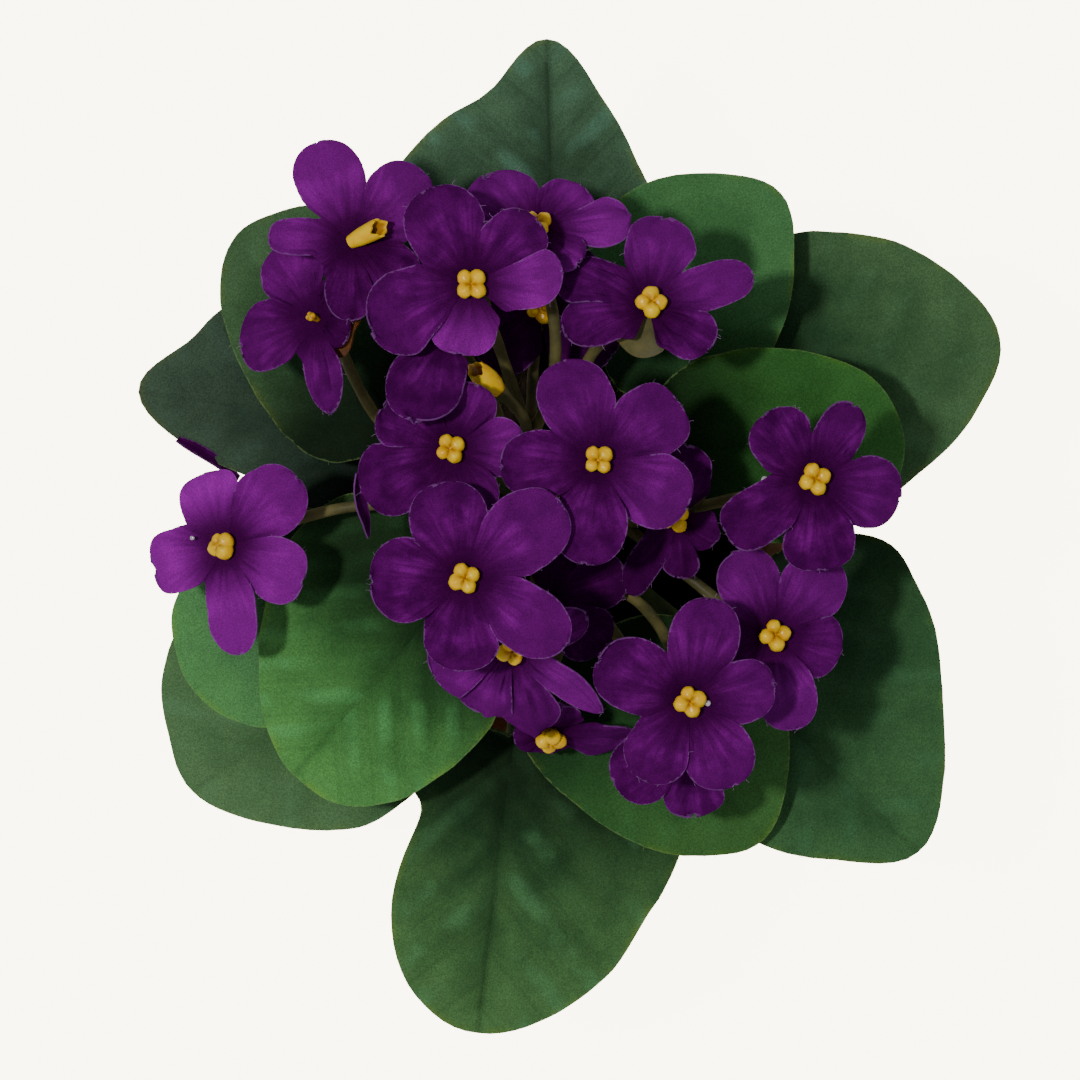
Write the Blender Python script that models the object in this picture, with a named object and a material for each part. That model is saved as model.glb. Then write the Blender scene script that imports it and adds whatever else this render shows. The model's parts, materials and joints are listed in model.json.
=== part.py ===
"""Artificial African violet in a plain clay pot, as separate closed solids.

Units are metres with +Z up. The origin is the middle of the pot's flat foot, on
the surface that the pot stands on. Azimuths are degrees anticlockwise from +X,
seen from above. Lengths in the tables are millimetres.
"""

import math
from collections import namedtuple

import bmesh
import bpy
from mathutils import Vector

MM = 0.001
SEAT_GAP = 0.3 * MM  # clearance left between pieces that touch on the real thing
UP = Vector((0, 0, 1))
CRISP_ANGLE = 40  # degrees between faces up to which moulded clay shades smooth
SOFT_ANGLE = 60  # the same for cloth and stalks

# Pot
POT_HEIGHT = 90 * MM
POT_FOOT_RADIUS = 36 * MM
POT_NECK_RADIUS = 50 * MM
POT_RIM_RADIUS = 55 * MM
POT_COLLAR_HEIGHT = 20 * MM
POT_EDGE = 1.5 * MM
POT_FLOOR = 5 * MM
POT_MOUTH_RADIUS = 50 * MM
POT_FLOOR_RADIUS = 32 * MM
POT_SIDES = 32
DRAIN_COUNT = 4
DRAIN_RADIUS = 3 * MM
DRAIN_CIRCLE = 18 * MM
DRAIN_SIDES = 8

# Soil, with the plain hole that the crown stands in
SOIL_EDGE_HEIGHT = 77 * MM
SOIL_HOLE_RADIUS = 10.9 * MM
SOIL_HOLE_BOTTOM = 65 * MM
SOIL_RING_RADII = (38 * MM, 24 * MM)
SOIL_DOME = 3 * MM
SOIL_LUMP = 1.1 * MM
SOIL_WAVES = ((5, 900), (9, -1500))  # lumps round the pot, and their twist per metre outwards

# Crown: the moulded stump that every petiole and flower stalk is pushed into
CROWN_SIDES = 10
CROWN_PROFILE = ((10.0, 65.3), (10.4, 72), (9.6, 86), (8.6, 97), (7.4, 100))  # radius, height in mm
CROWN_TOP = CROWN_PROFILE[-1][1] * MM

# Leaves
BLADE_THICKNESS = 0.9 * MM
BLADE_SPOKES = 24
BLADE_RINGS = (0.44, 0.78, 1.0)
BLADE_POLE = 0.3  # place of the grid's middle along the blade
BLADE_HALF_WIDTH = 0.45  # typical, as a part of the length; the fold rises over it
FOLD_CREST = 1.5  # how far out the fold stops rising, in half widths doubled
WAVE_LIMIT = 1.2  # the edge's wave grows no further than this past the edge
PETIOLE_SIDES = 5
PETIOLE_RADIUS = 2.1 * MM
PETIOLE_STEPS = 4
# Ends of the petiole's curve: how steeply it rises, and the handle as a part of the reach
PETIOLE_LEAVING_RISE, PETIOLE_LEAVING_SHARE = 0.35, 0.4
PETIOLE_ARRIVING_RISE, PETIOLE_ARRIVING_SHARE = 0.55, 0.35
MIDRIB_STATIONS = ((0.15, 1.3), (0.40, 0.8))  # part of length, radius in mm
MIDRIB_SINK = 0.1  # mm that the midrib runs into the blade

# Flowers
PETAL_THICKNESS = 0.7 * MM
# Rows out along a petal: part of its length, part of its width
PETAL_OUTLINE = ((0.10, 0.24), (0.40, 0.76), (0.66, 1.0), (0.90, 0.66))
PETAL_ROLL = 7  # degrees, so that each petal laps over the next
PETAL_LIFT = 1.0 * MM
HUB_RADIUS = 3.8 * MM
HUB_HALF_HEIGHT = 1.0 * MM
HUB_SIDES = 7
CENTRE_SIDES = 12
ANTHER_COUNT = 4
# Rings up the yellow centre: height, least radius and how far the four anthers swell, in mm
CENTRE_PROFILE = ((0, 1.9, 0), (2.2, 1.8, 0.1), (3.6, 2.3, 1.1), (4.9, 1.4, 0.9))
CENTRE_DIP = 4.2 * MM
# Stations up an open cup: part of its height, radius in mm
CUP_HEIGHT = 6 * MM
CUP_PROFILE = ((0, 1.4), (0.35, 1.9), (0.9, 2.2), (1.0, 1.9), (1.0, 1.4), (0.4, 1.1))
CUP_SIDES = 6
BARE_CUP_SCALE = 1.25  # the cup on the bare stalk is this much larger than flower 1's

# Flower stalks
STALK_SIDES = 5
PEDUNCLE_RADIUS = 1.7 * MM
PEDUNCLE_STEPS = 5
PEDUNCLE_SEAT_RADIUS = 5.2 * MM
PEDUNCLE_RISE, PEDUNCLE_ARRIVING = 0.4, 0.3  # handles as parts of the reach
PEDUNCLE_OVERRUN = 2 * MM  # how far it runs past the fork, into the pedicels
PEDICEL_RADIUS = 1.3 * MM
PEDICEL_STEPS = 6
# Handles of a pedicel's curve, as parts of the reach: away from the fork and up, then
# how squarely it meets the flower and from how far
PEDICEL_AWAY, PEDICEL_RISE = 0.25, 0.15
PEDICEL_SQUARE, PEDICEL_ARRIVING, PEDICEL_ARRIVING_ROUTED = 0.7, 0.35, 0.2
BARE_STALK_AWAY, BARE_STALK_RISE, BARE_STALK_ARRIVING = 0.3, 0.15, 0.4
CALYX_SEPALS = 5
CALYX_POINT_RADIUS = 6.5 * MM
CALYX_NOTCH_RADIUS = 2.4 * MM
CALYX_THICKNESS = 0.8 * MM
CALYX_DROOP = 1.4 * MM
CALYX_DEPTH = 3.2 * MM

# A blade is placed by its seat, the point where the petiole meets it. Its outline
# is 24 distances from the seat, every 15 degrees anticlockwise from the tip. A wave
# is a height, a count and a phase.
Leaf = namedtuple("Leaf", "name colour level seat axis outline arch droop fold wave")

LEAVES = (
    Leaf("leaf_back", (0.050, 0.100, 0.055), 84, (91, 53, 108), 92,
         (61.8, 51.5, 49.5, 48.5, 46.5, 39.5, 30, 20, 12, 8, 5, 3.5, 3, 4.5, 7.5, 11, 14, 17.5, 21, 24,
          28.5, 33, 38.5, 48.5),
         4, 6, 4, (1.5, 5, 40)),
    Leaf("leaf_back_right", (0.055, 0.175, 0.040), 91, (60, 37, 122), 54,
         (56, 53, 48.5, 42.5, 31.5, 19, 11, 8, 6, 5, 4, 3.5, 3.5, 4, 5, 6, 7.5, 9, 11, 15.5, 21.5,
          28.5, 36.5, 46),
         3, 7, 3, (1.2, 4, 100)),
    Leaf("leaf_right", (0.022, 0.068, 0.024), 84, (25, 48, 106), 21.5,
         (65.5, 63, 58.5, 53, 47.5, 38, 27, 17.5, 10, 6.5, 5.5, 4.5, 4, 4, 4, 5, 8, 12, 16, 22, 28.5,
          35.5, 43.5, 55),
         4, 8, 4, (1.3, 5, 0)),
    Leaf("leaf_right_upper", (0.040, 0.150, 0.022), 97, (31, 31, 134), 7,
         (52.5, 48, 38.5, 31, 25, 21, 17, 14, 11, 8.5, 6, 5, 5, 5.5, 6.5, 8, 9.5, 12, 14.5, 18.5, 24,
          33, 43, 51),
         3, 7, 3, (1.0, 4, 60)),
    Leaf("leaf_front_right", (0.024, 0.064, 0.028), 84, (-40, 44, 106), -44,
         (71, 65, 58, 55, 52, 48.5, 34, 16.5, 8, 6, 4.5, 4, 3.5, 3, 4, 5, 6.5, 9, 11.5, 16.5, 25.5,
          38, 48.5, 59),
         4, 7, 5, (1.6, 5, 130)),
    Leaf("leaf_front_right_upper", (0.048, 0.150, 0.035), 91, (-72, 31, 122), -49,
         (58, 52, 45, 36.5, 27, 19, 13, 8.5, 6.5, 5.5, 4.5, 4.5, 4.5, 5.5, 7.5, 10, 13, 20, 25.5,
          29.5, 33, 38, 45.5, 53),
         3, 6, 3, (1.1, 4, 10)),
    Leaf("leaf_front", (0.036, 0.095, 0.030), 84, (-102, 53, 106), -97,
         (69, 64.5, 58, 51, 47.5, 43.5, 35.5, 25.5, 14, 6.5, 4.5, 3.5, 3, 2.5, 2.5, 4, 6.5, 10.5, 16,
          20.5, 25, 28, 47.5, 63),
         5, 7, 5, (1.7, 5, 75)),
    Leaf("leaf_front_left_upper", (0.095, 0.240, 0.080), 97, (-144, 37, 130), -131,
         (48, 47.5, 42.5, 36, 31, 27, 22, 18, 16, 15.5, 15, 15, 16, 19, 22.5, 26.5, 31, 34.5, 36, 37,
          37.5, 39, 41.5, 45.5),
         3, 5, 3, (1.2, 5, 20)),
    Leaf("leaf_left_small", (0.070, 0.200, 0.055), 91, (-162, 56, 117), -147,
         (39, 37, 33.5, 27.5, 20, 13.5, 7.5, 6, 5, 4.5, 4.5, 4.5, 4.5, 6, 10, 15, 20, 22.5, 25, 27.5,
          29.5, 33, 37, 38.5),
         2, 5, 3, (1.0, 4, 45)),
    Leaf("leaf_front_left", (0.052, 0.120, 0.040), 84, (-143, 51, 101), -145,
         (57, 51, 45.5, 41.5, 35.5, 29.5, 23.5, 18, 12, 7.5, 5.5, 4.5, 4, 3.5, 3.5, 4, 4.5, 6, 11,
          19.5, 34, 48, 53.5, 55.5),
         4, 7, 4, (1.4, 5, 90)),
    Leaf("leaf_left_pointed", (0.024, 0.052, 0.030), 84, (150, 46, 106), 172,
         (60.5, 46.5, 33.5, 30, 26.5, 22.5, 19, 15.5, 12, 9, 6.5, 5, 4, 4, 4, 5, 6, 7, 9, 15, 29, 41,
          47.5, 52),
         3, 6, 3, (1.2, 5, 15)),
    Leaf("leaf_back_left", (0.040, 0.110, 0.030), 91, (144, 53, 122), 134,
         (48.5, 42, 34, 28.5, 25, 23, 21.5, 19.5, 17, 14, 10, 7.5, 6, 6, 7.5, 9, 11.5, 14, 18.5,
          25.5, 32.5, 39, 44, 47.5),
         3, 6, 3, (1.2, 4, 0)),
)

# Forks: where each stalk cluster branches, and the azimuth of its seat on the crown
Spray = namedtuple("Spray", "name seat_azimuth fork")

SPRAYS = (
    Spray("spray_left_back", 130, (-12, 14, 130)),
    Spray("spray_back", 85, (-7, 20, 137)),
    Spray("spray_right_back", 40, (9, 13, 138)),
    Spray("spray_right", -5, (14, 0, 138)),
    Spray("spray_front", -60, (5, -14, 137)),
    Spray("spray_left", 185, (-14, -2, 136)),
)

# A flower's place is the middle of its corolla. It leans by an angle towards an
# azimuth. Each petal has the azimuth that it shows from above, a true length, and its
# width as a part of the length. Turn is the azimuth of its first anther, and via a
# handle that leads its stalk clear of the others.
Flower = namedtuple("Flower", "number spray place lean petals turn via")

FLOWERS = (
    Flower(1, "spray_left_back", (-46.0, 62.2, 172), (12, 30),
           ((110, 23.2, 0.7), (42, 22.7, 0.74), (177, 18.5, 0.46), (267, 17.5, 0.62), (318, 17, 0.84)),
           10, (-14, 44, 128)),
    Flower(2, "spray_left_back", (-54.3, 45.6, 164), (28, 165),
           ((198, 20.4, 0.82), (112, 19.5, 0.9), (277, 21.5, 0.46), (52, 9, 0.8), (325, 9, 0.8)),
           20, (-45, 6, 126)),
    Flower(3, "spray_back", (-19.5, 52.3, 184), (8, 250),
           ((115, 22.4, 0.78), (44, 19.7, 0.74), (6, 19.8, 0.7), (262, 15.6, 0.92), (204, 24.4, 0.76)),
           45, None),
    Flower(4, "spray_back", (-5.4, 64.6, 171), (38, 90),
           ((135, 18.8, 0.9), (45, 16, 0.8), (9, 21, 0.64), (-40, 13, 0.8), (222, 13, 0.8)),
           30, (5, 38, 170)),
    Flower(5, "spray_right_back", (19.4, 47.9, 173), (20, 65),
           ((80, 21.2, 0.76), (18, 24.7, 0.42), (-35, 16.3, 0.78), (196, 20, 0.62), (160, 21, 0.64)),
           0, (-5, 42, 148)),
    Flower(6, "spray_left", (-23.9, 16.5, 176), (10, 190),
           ((205, 22.6, 0.77), (150, 18, 0.8), (-66, 16, 0.84), (2, 16, 0.84), (68, 15, 0.84)),
           30, None),
    Flower(7, "spray_right_back", (7.9, 13.6, 184), (5, 60),
           ((110, 23, 0.73), (36, 22, 0.75), (-27, 21.8, 0.77), (-97, 22.6, 0.72), (184, 21, 0.72)),
           40, None),
    Flower(8, "spray_left", (-20.8, -11.8, 188), (4, 200),
           ((106, 21.2, 0.81), (38, 26.3, 0.66), (-33, 26.3, 0.57), (-94, 20.3, 0.84), (182, 20.6, 0.9)),
           25, None),
    Flower(9, "spray_left", (-10.9, -26.6, 172), (36, 270),
           ((205, 20, 0.86), (248, 21, 0.78), (-76, 26, 0.56), (-34, 26, 0.32), (20, 18, 0.6)),
           15, None),
    Flower(10, "spray_right", (55.6, 9.7, 170), (8, 20),
           ((128, 18, 0.86), (61, 19, 0.58), (-12, 20, 0.81), (-85, 20, 0.8), (213, 23, 0.56)),
           20, None),
    Flower(11, "spray_right", (47.2, -24.8, 161), (10, 10),
           ((115, 20.5, 0.74), (50, 22.5, 0.7), (-13, 16.2, 0.9), (-77, 21.7, 0.62), (200, 18, 0.8)),
           10, None),
    Flower(12, "spray_front", (28.0, -38.7, 178), (5, 300),
           ((77, 22.9, 0.69), (10, 18.8, 0.76), (-62, 21.3, 0.74), (238, 20.2, 0.73), (156, 21.9, 0.74)),
           15, (24, -12, 139)),
    Flower(13, "spray_left", (-75.6, -4.7, 150), (22, 180),
           ((108, 17, 0.86), (43, 23, 0.72), (-25, 20.5, 0.76), (-82, 24.9, 0.53), (198, 18.5, 0.8)),
           35, (-45, 14, 150)),
    Flower(14, "spray_front", (-2.6, -47.2, 142), (60, 280),
           ((-6, 20, 0.9), (70, 13, 0.84), (130, 12, 0.84), (190, 8, 0.84), (280, 10, 0.84)),
           0, None),
    Flower(15, "spray_front", (29.1, -49.8, 156), (20, 300),
           ((-86, 17, 0.84), (-20, 15, 0.84), (60, 15, 0.84), (130, 15, 0.84), (205, 19, 0.84)),
           0, None),
    Flower(16, "spray_back", (-4.7, 49.0, 146), (10, 300),
           ((-135, 18, 0.84), (-33, 20, 0.84), (40, 17, 0.84), (110, 16, 0.84), (180, 16, 0.84)),
           20, None),
    Flower(17, "spray_left_back", (-25.5, 43, 173), (28, 72),
           ((-108, 25, 0.68), (178, 10, 0.9), (110, 8, 0.9), (45, 5, 0.9), (-20, 5, 0.9)),
           0, None),
    Flower(18, "spray_right", (26.5, 1.9, 160), (30, 200),
           ((85, 16, 0.84), (150, 15, 0.84), (235, 23.5, 0.36), (-85, 14, 0.8), (-40, 10, 0.84)),
           30, None),
    Flower(19, "spray_front", (-3.2, -17.2, 147), (10, 60),
           ((75, 12, 0.84), (20, 19, 0.7), (-40, 17, 0.84), (-110, 12, 0.84), (180, 7, 0.84)),
           0, None),
)
OPEN_CENTRES = (1,)  # flowers whose centre is an open tube and not four anthers
BARE_CUP = ("spray_back", (-13.8, 29.4, 166), (62, 138))  # a centre with no petals left

LEAF_ROUGHNESS = 0.6
COLOURS = {
    "clay": ((0.440, 0.170, 0.085), 0.85),
    "soil": ((0.030, 0.020, 0.014), 0.95),
    "crown": ((0.085, 0.085, 0.035), 0.6),
    "stalk": ((0.120, 0.115, 0.045), 0.55),
    "petal": ((0.085, 0.009, 0.105), 0.75),
    "anther": ((0.680, 0.380, 0.012), 0.35),
}


def polar(azimuth, radius, height=0.0):
    """The point at an azimuth in degrees, a radius and a height."""
    angle = math.radians(azimuth)
    return Vector((radius * math.cos(angle), radius * math.sin(angle), height))


def millimetres(values):
    return Vector(values) * MM


def paint(name, colour, roughness):
    """A material with one colour and roughness."""
    material = bpy.data.materials.new(name)
    material.use_nodes = True
    shader = material.node_tree.nodes["Principled BSDF"]
    shader.inputs["Base Color"].default_value = (*colour, 1)
    shader.inputs["Roughness"].default_value = roughness
    shader.inputs["Metallic"].default_value = 0
    material.diffuse_color = (*colour, 1)
    return material


def closed_object(name, points, faces):
    """An object from points and faces of a closed shape, with its faces turned out."""
    mesh = bpy.data.meshes.new(name)
    mesh.from_pydata([tuple(point) for point in points], [], faces)
    shape = bmesh.new()
    shape.from_mesh(mesh)
    bmesh.ops.recalc_face_normals(shape, faces=shape.faces)
    shape.to_mesh(mesh)
    shape.free()
    result = bpy.data.objects.new(name, mesh)
    bpy.context.scene.collection.objects.link(result)
    return result


def with_boolean(name, base, others, operation):
    """One Boolean of a collection of objects on a base, applied, its pieces removed."""
    group = bpy.data.collections.new(name + "_pieces")
    bpy.context.scene.collection.children.link(group)
    for other in others:
        group.objects.link(other)
    modifier = base.modifiers.new(operation.title(), "BOOLEAN")
    modifier.operation = operation
    modifier.operand_type = "COLLECTION"
    modifier.collection = group
    modifier.solver = "EXACT"
    bpy.context.view_layer.update()
    evaluated = base.evaluated_get(bpy.context.evaluated_depsgraph_get())
    result = bpy.data.objects.new(name, bpy.data.meshes.new_from_object(evaluated))
    for piece in (base, *others):
        bpy.data.objects.remove(piece)
    bpy.data.collections.remove(group)
    bpy.context.scene.collection.objects.link(result)
    return result


def finish(piece, name, material, smooth_angle=SOFT_ANGLE):
    """Name a piece, give it its material and shade it smooth up to an angle."""
    piece.name = name
    piece.data.name = name
    piece.data.materials.clear()
    piece.data.materials.append(material)
    piece.data.shade_smooth()
    piece.data.set_sharp_from_angle(angle=math.radians(smooth_angle))
    return piece


def lathe(name, rings, height_of=None):
    """A turned solid through rings of (radius, height), closed by a face at each end."""
    points = []
    for radius, height in rings:
        for side in range(POT_SIDES):
            point = polar(360 * side / POT_SIDES, radius, height)
            if height_of:
                point.z = height_of(point)
            points.append(point)
    return closed_object(name, points, ring_faces(len(rings), POT_SIDES))


def ring_faces(ring_count, sides, capped=True):
    """Faces that join rings of points in order, with a cap on the first and the last.

    Without capped, the last ring stays open.
    """
    faces = [tuple(range(sides))]
    if capped:
        faces.append(tuple(range((ring_count - 1) * sides, ring_count * sides)))
    for ring in range(ring_count - 1):
        for side in range(sides):
            following = (side + 1) % sides
            low, high = ring * sides, (ring + 1) * sides
            faces.append((low + side, low + following, high + following, high + side))
    return faces


def tube_rings(path, radii, sides, leaving=None):
    """Rings of points round a path, turned as little as possible along it.

    The first ring is square to the direction that leaving gives.
    """
    rings = []
    side_axis = None
    for index, centre in enumerate(path):
        before = path[max(index - 1, 0)]
        after = path[min(index + 1, len(path) - 1)]
        forward = (after - before).normalized()
        if leaving and index == 0:
            forward = leaving
        if side_axis is None:
            side_axis = forward.orthogonal()
        side_axis = (side_axis - forward * side_axis.dot(forward)).normalized()
        other_axis = forward.cross(side_axis)
        for side in range(sides):
            angle = 2 * math.pi * side / sides
            offset = side_axis * math.cos(angle) + other_axis * math.sin(angle)
            rings.append(centre + offset * radii[index])
    return rings


def tube(name, path, radii, sides, leaving=None):
    points = tube_rings(path, radii, sides, leaving)
    return closed_object(name, points, ring_faces(len(path), sides))


def bezier(start, start_handle, end_handle, end, steps):
    """Points along a cubic curve, both ends included."""
    points = []
    for step in range(steps + 1):
        t = step / steps
        s = 1 - t
        points.append(start * s ** 3 + start_handle * 3 * s * s * t
                      + end_handle * 3 * s * t * t + end * t ** 3)
    return points


def sheet_faces(triangles, rim, count):
    """Faces of a thick sheet: the top, the bottom split alike, and the rim between."""
    faces = list(triangles)
    faces += [tuple(count + corner for corner in reversed(face)) for face in triangles]
    for here, following in zip(rim, rim[1:] + rim[:1]):
        faces.append((here, following, count + following))
        faces.append((here, count + following, count + here))
    return faces


def pot_inner_radius(height):
    """Radius of the pot's inside at a height."""
    share = (height - POT_FLOOR) / (POT_HEIGHT - POT_FLOOR)
    return POT_FLOOR_RADIUS + (POT_MOUTH_RADIUS - POT_FLOOR_RADIUS) * share


def make_pot(material):
    """Clay pot with a collar, a flat foot and four drain holes round its middle."""
    collar_bottom = POT_HEIGHT - POT_COLLAR_HEIGHT
    rings = (
        (POT_FOOT_RADIUS - POT_EDGE, 0),
        (POT_FOOT_RADIUS, POT_EDGE),
        (POT_NECK_RADIUS, collar_bottom),
        (POT_RIM_RADIUS - POT_EDGE, collar_bottom),
        (POT_RIM_RADIUS, collar_bottom + POT_EDGE),
        (POT_RIM_RADIUS, POT_HEIGHT - POT_EDGE),
        (POT_RIM_RADIUS - POT_EDGE, POT_HEIGHT),
        (POT_MOUTH_RADIUS, POT_HEIGHT),
        (POT_FLOOR_RADIUS, POT_FLOOR),
    )
    drains = []
    for index in range(DRAIN_COUNT):
        middle = polar(360 * (index + 0.5) / DRAIN_COUNT, DRAIN_CIRCLE)
        path = [middle - UP * POT_FLOOR, middle + UP * 2 * POT_FLOOR]
        drains.append(tube("drain", path, [DRAIN_RADIUS] * 2, DRAIN_SIDES))
    pot = with_boolean("pot", lathe("pot_body", rings), drains, "DIFFERENCE")
    return finish(pot, "pot", material, CRISP_ANGLE)


def soil_height(point):
    """Lumpy surface of the soil, a little domed towards the middle."""
    radius = math.hypot(point.x, point.y)
    angle = math.atan2(point.y, point.x)
    dome = SOIL_DOME * (1 - radius / POT_MOUTH_RADIUS)
    lumps = sum(math.sin(count * angle + twist * radius) for count, twist in SOIL_WAVES)
    return SOIL_EDGE_HEIGHT + dome + SOIL_LUMP * lumps / len(SOIL_WAVES)


def make_soil(material):
    """Plug of soil that fills the pot, with a round hole for the crown."""
    bottom = POT_FLOOR + SEAT_GAP
    edge_radius = pot_inner_radius(SOIL_EDGE_HEIGHT) - 2 * SEAT_GAP
    surface = [(edge_radius, SOIL_EDGE_HEIGHT)]
    surface += [(radius, SOIL_EDGE_HEIGHT) for radius in SOIL_RING_RADII]
    surface.append((SOIL_HOLE_RADIUS, SOIL_EDGE_HEIGHT))
    rings = [(pot_inner_radius(bottom) - SEAT_GAP, bottom), *surface]
    rings.append((SOIL_HOLE_RADIUS, SOIL_HOLE_BOTTOM))

    def height_of(point):
        if point.z < SOIL_EDGE_HEIGHT:
            return point.z
        return soil_height(point)

    return finish(lathe("soil", rings, height_of), "soil", material)


def crown_radius(height):
    """Radius of the crown at a height, between the points of its profile."""
    for (low_radius, low), (high_radius, high) in zip(CROWN_PROFILE, CROWN_PROFILE[1:]):
        if height <= high * MM:
            share = (height / MM - low) / (high - low)
            return (low_radius + (high_radius - low_radius) * share) * MM
    return CROWN_PROFILE[-1][0] * MM


def make_crown(material):
    path = [UP * height * MM for _, height in CROWN_PROFILE]
    radii = [radius * MM for radius, _ in CROWN_PROFILE]
    return finish(tube("crown", path, radii, CROWN_SIDES), "crown", material)


def outline_radius(leaf, angle):
    """Distance in mm from the seat to the blade's edge, at degrees from the tip."""
    count = len(leaf.outline)
    place = (angle % 360) / 360 * count
    index = int(place)
    t = place - index
    before, here, following, beyond = (leaf.outline[(index + step) % count] for step in (-1, 0, 1, 2))
    return 0.5 * (2 * here + (following - before) * t
                  + (2 * before - 5 * here + 4 * following - beyond) * t * t
                  + (3 * here - before - 3 * following + beyond) * t ** 3)


def blade_height(leaf, along, across):
    """Height in mm of the blade over its seat, at mm along and across its axis."""
    length = leaf.outline[0]
    part = max(along, 0) / length
    side = abs(across) / (BLADE_HALF_WIDTH * length)
    reach = math.hypot(along, across)
    angle = math.degrees(math.atan2(across, along))
    edge = min(reach / outline_radius(leaf, angle), WAVE_LIMIT)
    size, count, phase = leaf.wave
    return (leaf.arch * 4 * part * (1 - part) - leaf.droop * part * part
            + leaf.fold * side * (FOLD_CREST - side)
            + size * edge * edge * math.sin(math.radians(count * angle + phase)))


def blade_point(leaf, along, across):
    """World point on the blade's middle surface."""
    azimuth, radius, height = leaf.seat
    seat = polar(azimuth, radius, height)
    forward = polar(leaf.axis, along)
    sideways = polar(leaf.axis + 90, across)
    return (seat + forward + sideways + UP * blade_height(leaf, along, across)) * MM


def make_blade(leaf):
    """Blade as a thin waved sheet on a grid of spokes and rings."""
    pole = BLADE_POLE * leaf.outline[0]
    points = [blade_point(leaf, pole, 0)]
    for ring in BLADE_RINGS:
        for spoke in range(BLADE_SPOKES):
            angle = 360 * spoke / BLADE_SPOKES
            edge = polar(angle, outline_radius(leaf, angle))
            points.append(blade_point(leaf, pole + (edge.x - pole) * ring, edge.y * ring))
    triangles = []
    for spoke in range(BLADE_SPOKES):
        following = (spoke + 1) % BLADE_SPOKES
        triangles.append((0, 1 + spoke, 1 + following))
        for ring in range(len(BLADE_RINGS) - 1):
            inner = 1 + ring * BLADE_SPOKES
            outer = inner + BLADE_SPOKES
            triangles.append((inner + spoke, outer + spoke, outer + following))
            triangles.append((inner + spoke, outer + following, inner + following))
    first = 1 + (len(BLADE_RINGS) - 1) * BLADE_SPOKES
    rim = list(range(first, first + BLADE_SPOKES))
    half = UP * BLADE_THICKNESS / 2
    both = [point + half for point in points] + [point - half for point in points]
    return closed_object("blade", both, sheet_faces(triangles, rim, len(points)))


def make_petiole(leaf):
    """Leaf stalk from the crown's side to the seat, and on below the blade as its midrib."""
    azimuth, radius, height = leaf.seat
    level = leaf.level * MM
    start = polar(azimuth, crown_radius(level) + SEAT_GAP, level)
    seat = blade_point(leaf, 0, 0) - UP * PETIOLE_RADIUS
    reach = (seat - start).length
    leaving = (polar(azimuth, 1) + UP * PETIOLE_LEAVING_RISE).normalized()
    arriving = (polar(leaf.axis, 1) + UP * PETIOLE_ARRIVING_RISE).normalized()
    path = bezier(start, start + leaving * reach * PETIOLE_LEAVING_SHARE,
                  seat - arriving * reach * PETIOLE_ARRIVING_SHARE, seat, PETIOLE_STEPS)
    radii = [PETIOLE_RADIUS] * len(path)
    length = leaf.outline[0]
    for part, rib_radius in MIDRIB_STATIONS:
        below = UP * (rib_radius - MIDRIB_SINK) * MM
        path.append(blade_point(leaf, part * length, 0) - below)
        radii.append(rib_radius * MM)
    return tube("petiole", path, radii, PETIOLE_SIDES, polar(azimuth, 1))


def make_leaf(leaf):
    joined = with_boolean(leaf.name, make_blade(leaf), [make_petiole(leaf)], "UNION")
    return finish(joined, leaf.name, paint(leaf.name, leaf.colour, LEAF_ROUGHNESS))


def facing(lean):
    """Unit vector that a flower faces: straight up, leaned towards an azimuth."""
    angle, azimuth = math.radians(lean[0]), lean[1]
    return polar(azimuth, math.sin(angle), math.cos(angle))


def petal_direction(normal, azimuth):
    """Direction in the flower's plane that shows at an azimuth from above."""
    flat = polar(azimuth, 1)
    return (flat - UP * flat.dot(normal) / normal.z).normalized()


def make_petal(flower, azimuth, length, broadness):
    """Petal as a thin sheet, wide past its middle, rolled so that it laps the next."""
    normal = facing(flower.lean)
    middle = millimetres(flower.place)
    along = petal_direction(normal, azimuth)
    across = normal.cross(along)
    roll = math.radians(PETAL_ROLL)
    side = across * math.cos(roll) + normal * math.sin(roll)
    face = normal * math.cos(roll) - across * math.sin(roll)
    half_width = broadness * length * MM / 2
    points = []
    for share, width in PETAL_OUTLINE:
        lift = face * PETAL_LIFT * math.sin(math.pi * share)
        for column in (-1, 1):
            reach = along * share * length * MM
            points.append(middle + reach + side * column * width * half_width + lift)
    points.append(middle + along * length * MM)
    last = len(PETAL_OUTLINE) - 1
    tip = len(points) - 1
    triangles = [(2 * last, tip, 2 * last + 1)]
    for row in range(last):
        corner = 2 * row
        triangles.append((corner, corner + 2, corner + 3))
        triangles.append((corner, corner + 3, corner + 1))
    rim = [2 * row for row in range(last + 1)] + [tip]
    rim += [2 * row + 1 for row in range(last, -1, -1)]
    half = face * PETAL_THICKNESS / 2
    both = [point + half for point in points] + [point - half for point in points]
    return closed_object("petal", both, sheet_faces(triangles, rim, len(points)))


def make_petals(flower, material):
    """The five petals of a flower joined by the flat hub that they spring from."""
    name = f"flower_{flower.number:02d}_petals"
    normal = facing(flower.lean)
    middle = millimetres(flower.place)
    path = [middle - normal * HUB_HALF_HEIGHT, middle + normal * HUB_HALF_HEIGHT]
    hub = tube("hub", path, [HUB_RADIUS] * 2, HUB_SIDES)
    petals = [make_petal(flower, *petal) for petal in flower.petals]
    return finish(with_boolean(name, hub, petals, "UNION"), name, material)


def across_axes(normal, azimuth):
    """Two unit vectors square to a normal, the first one towards an azimuth."""
    first = petal_direction(normal, azimuth)
    return first, normal.cross(first)


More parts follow.
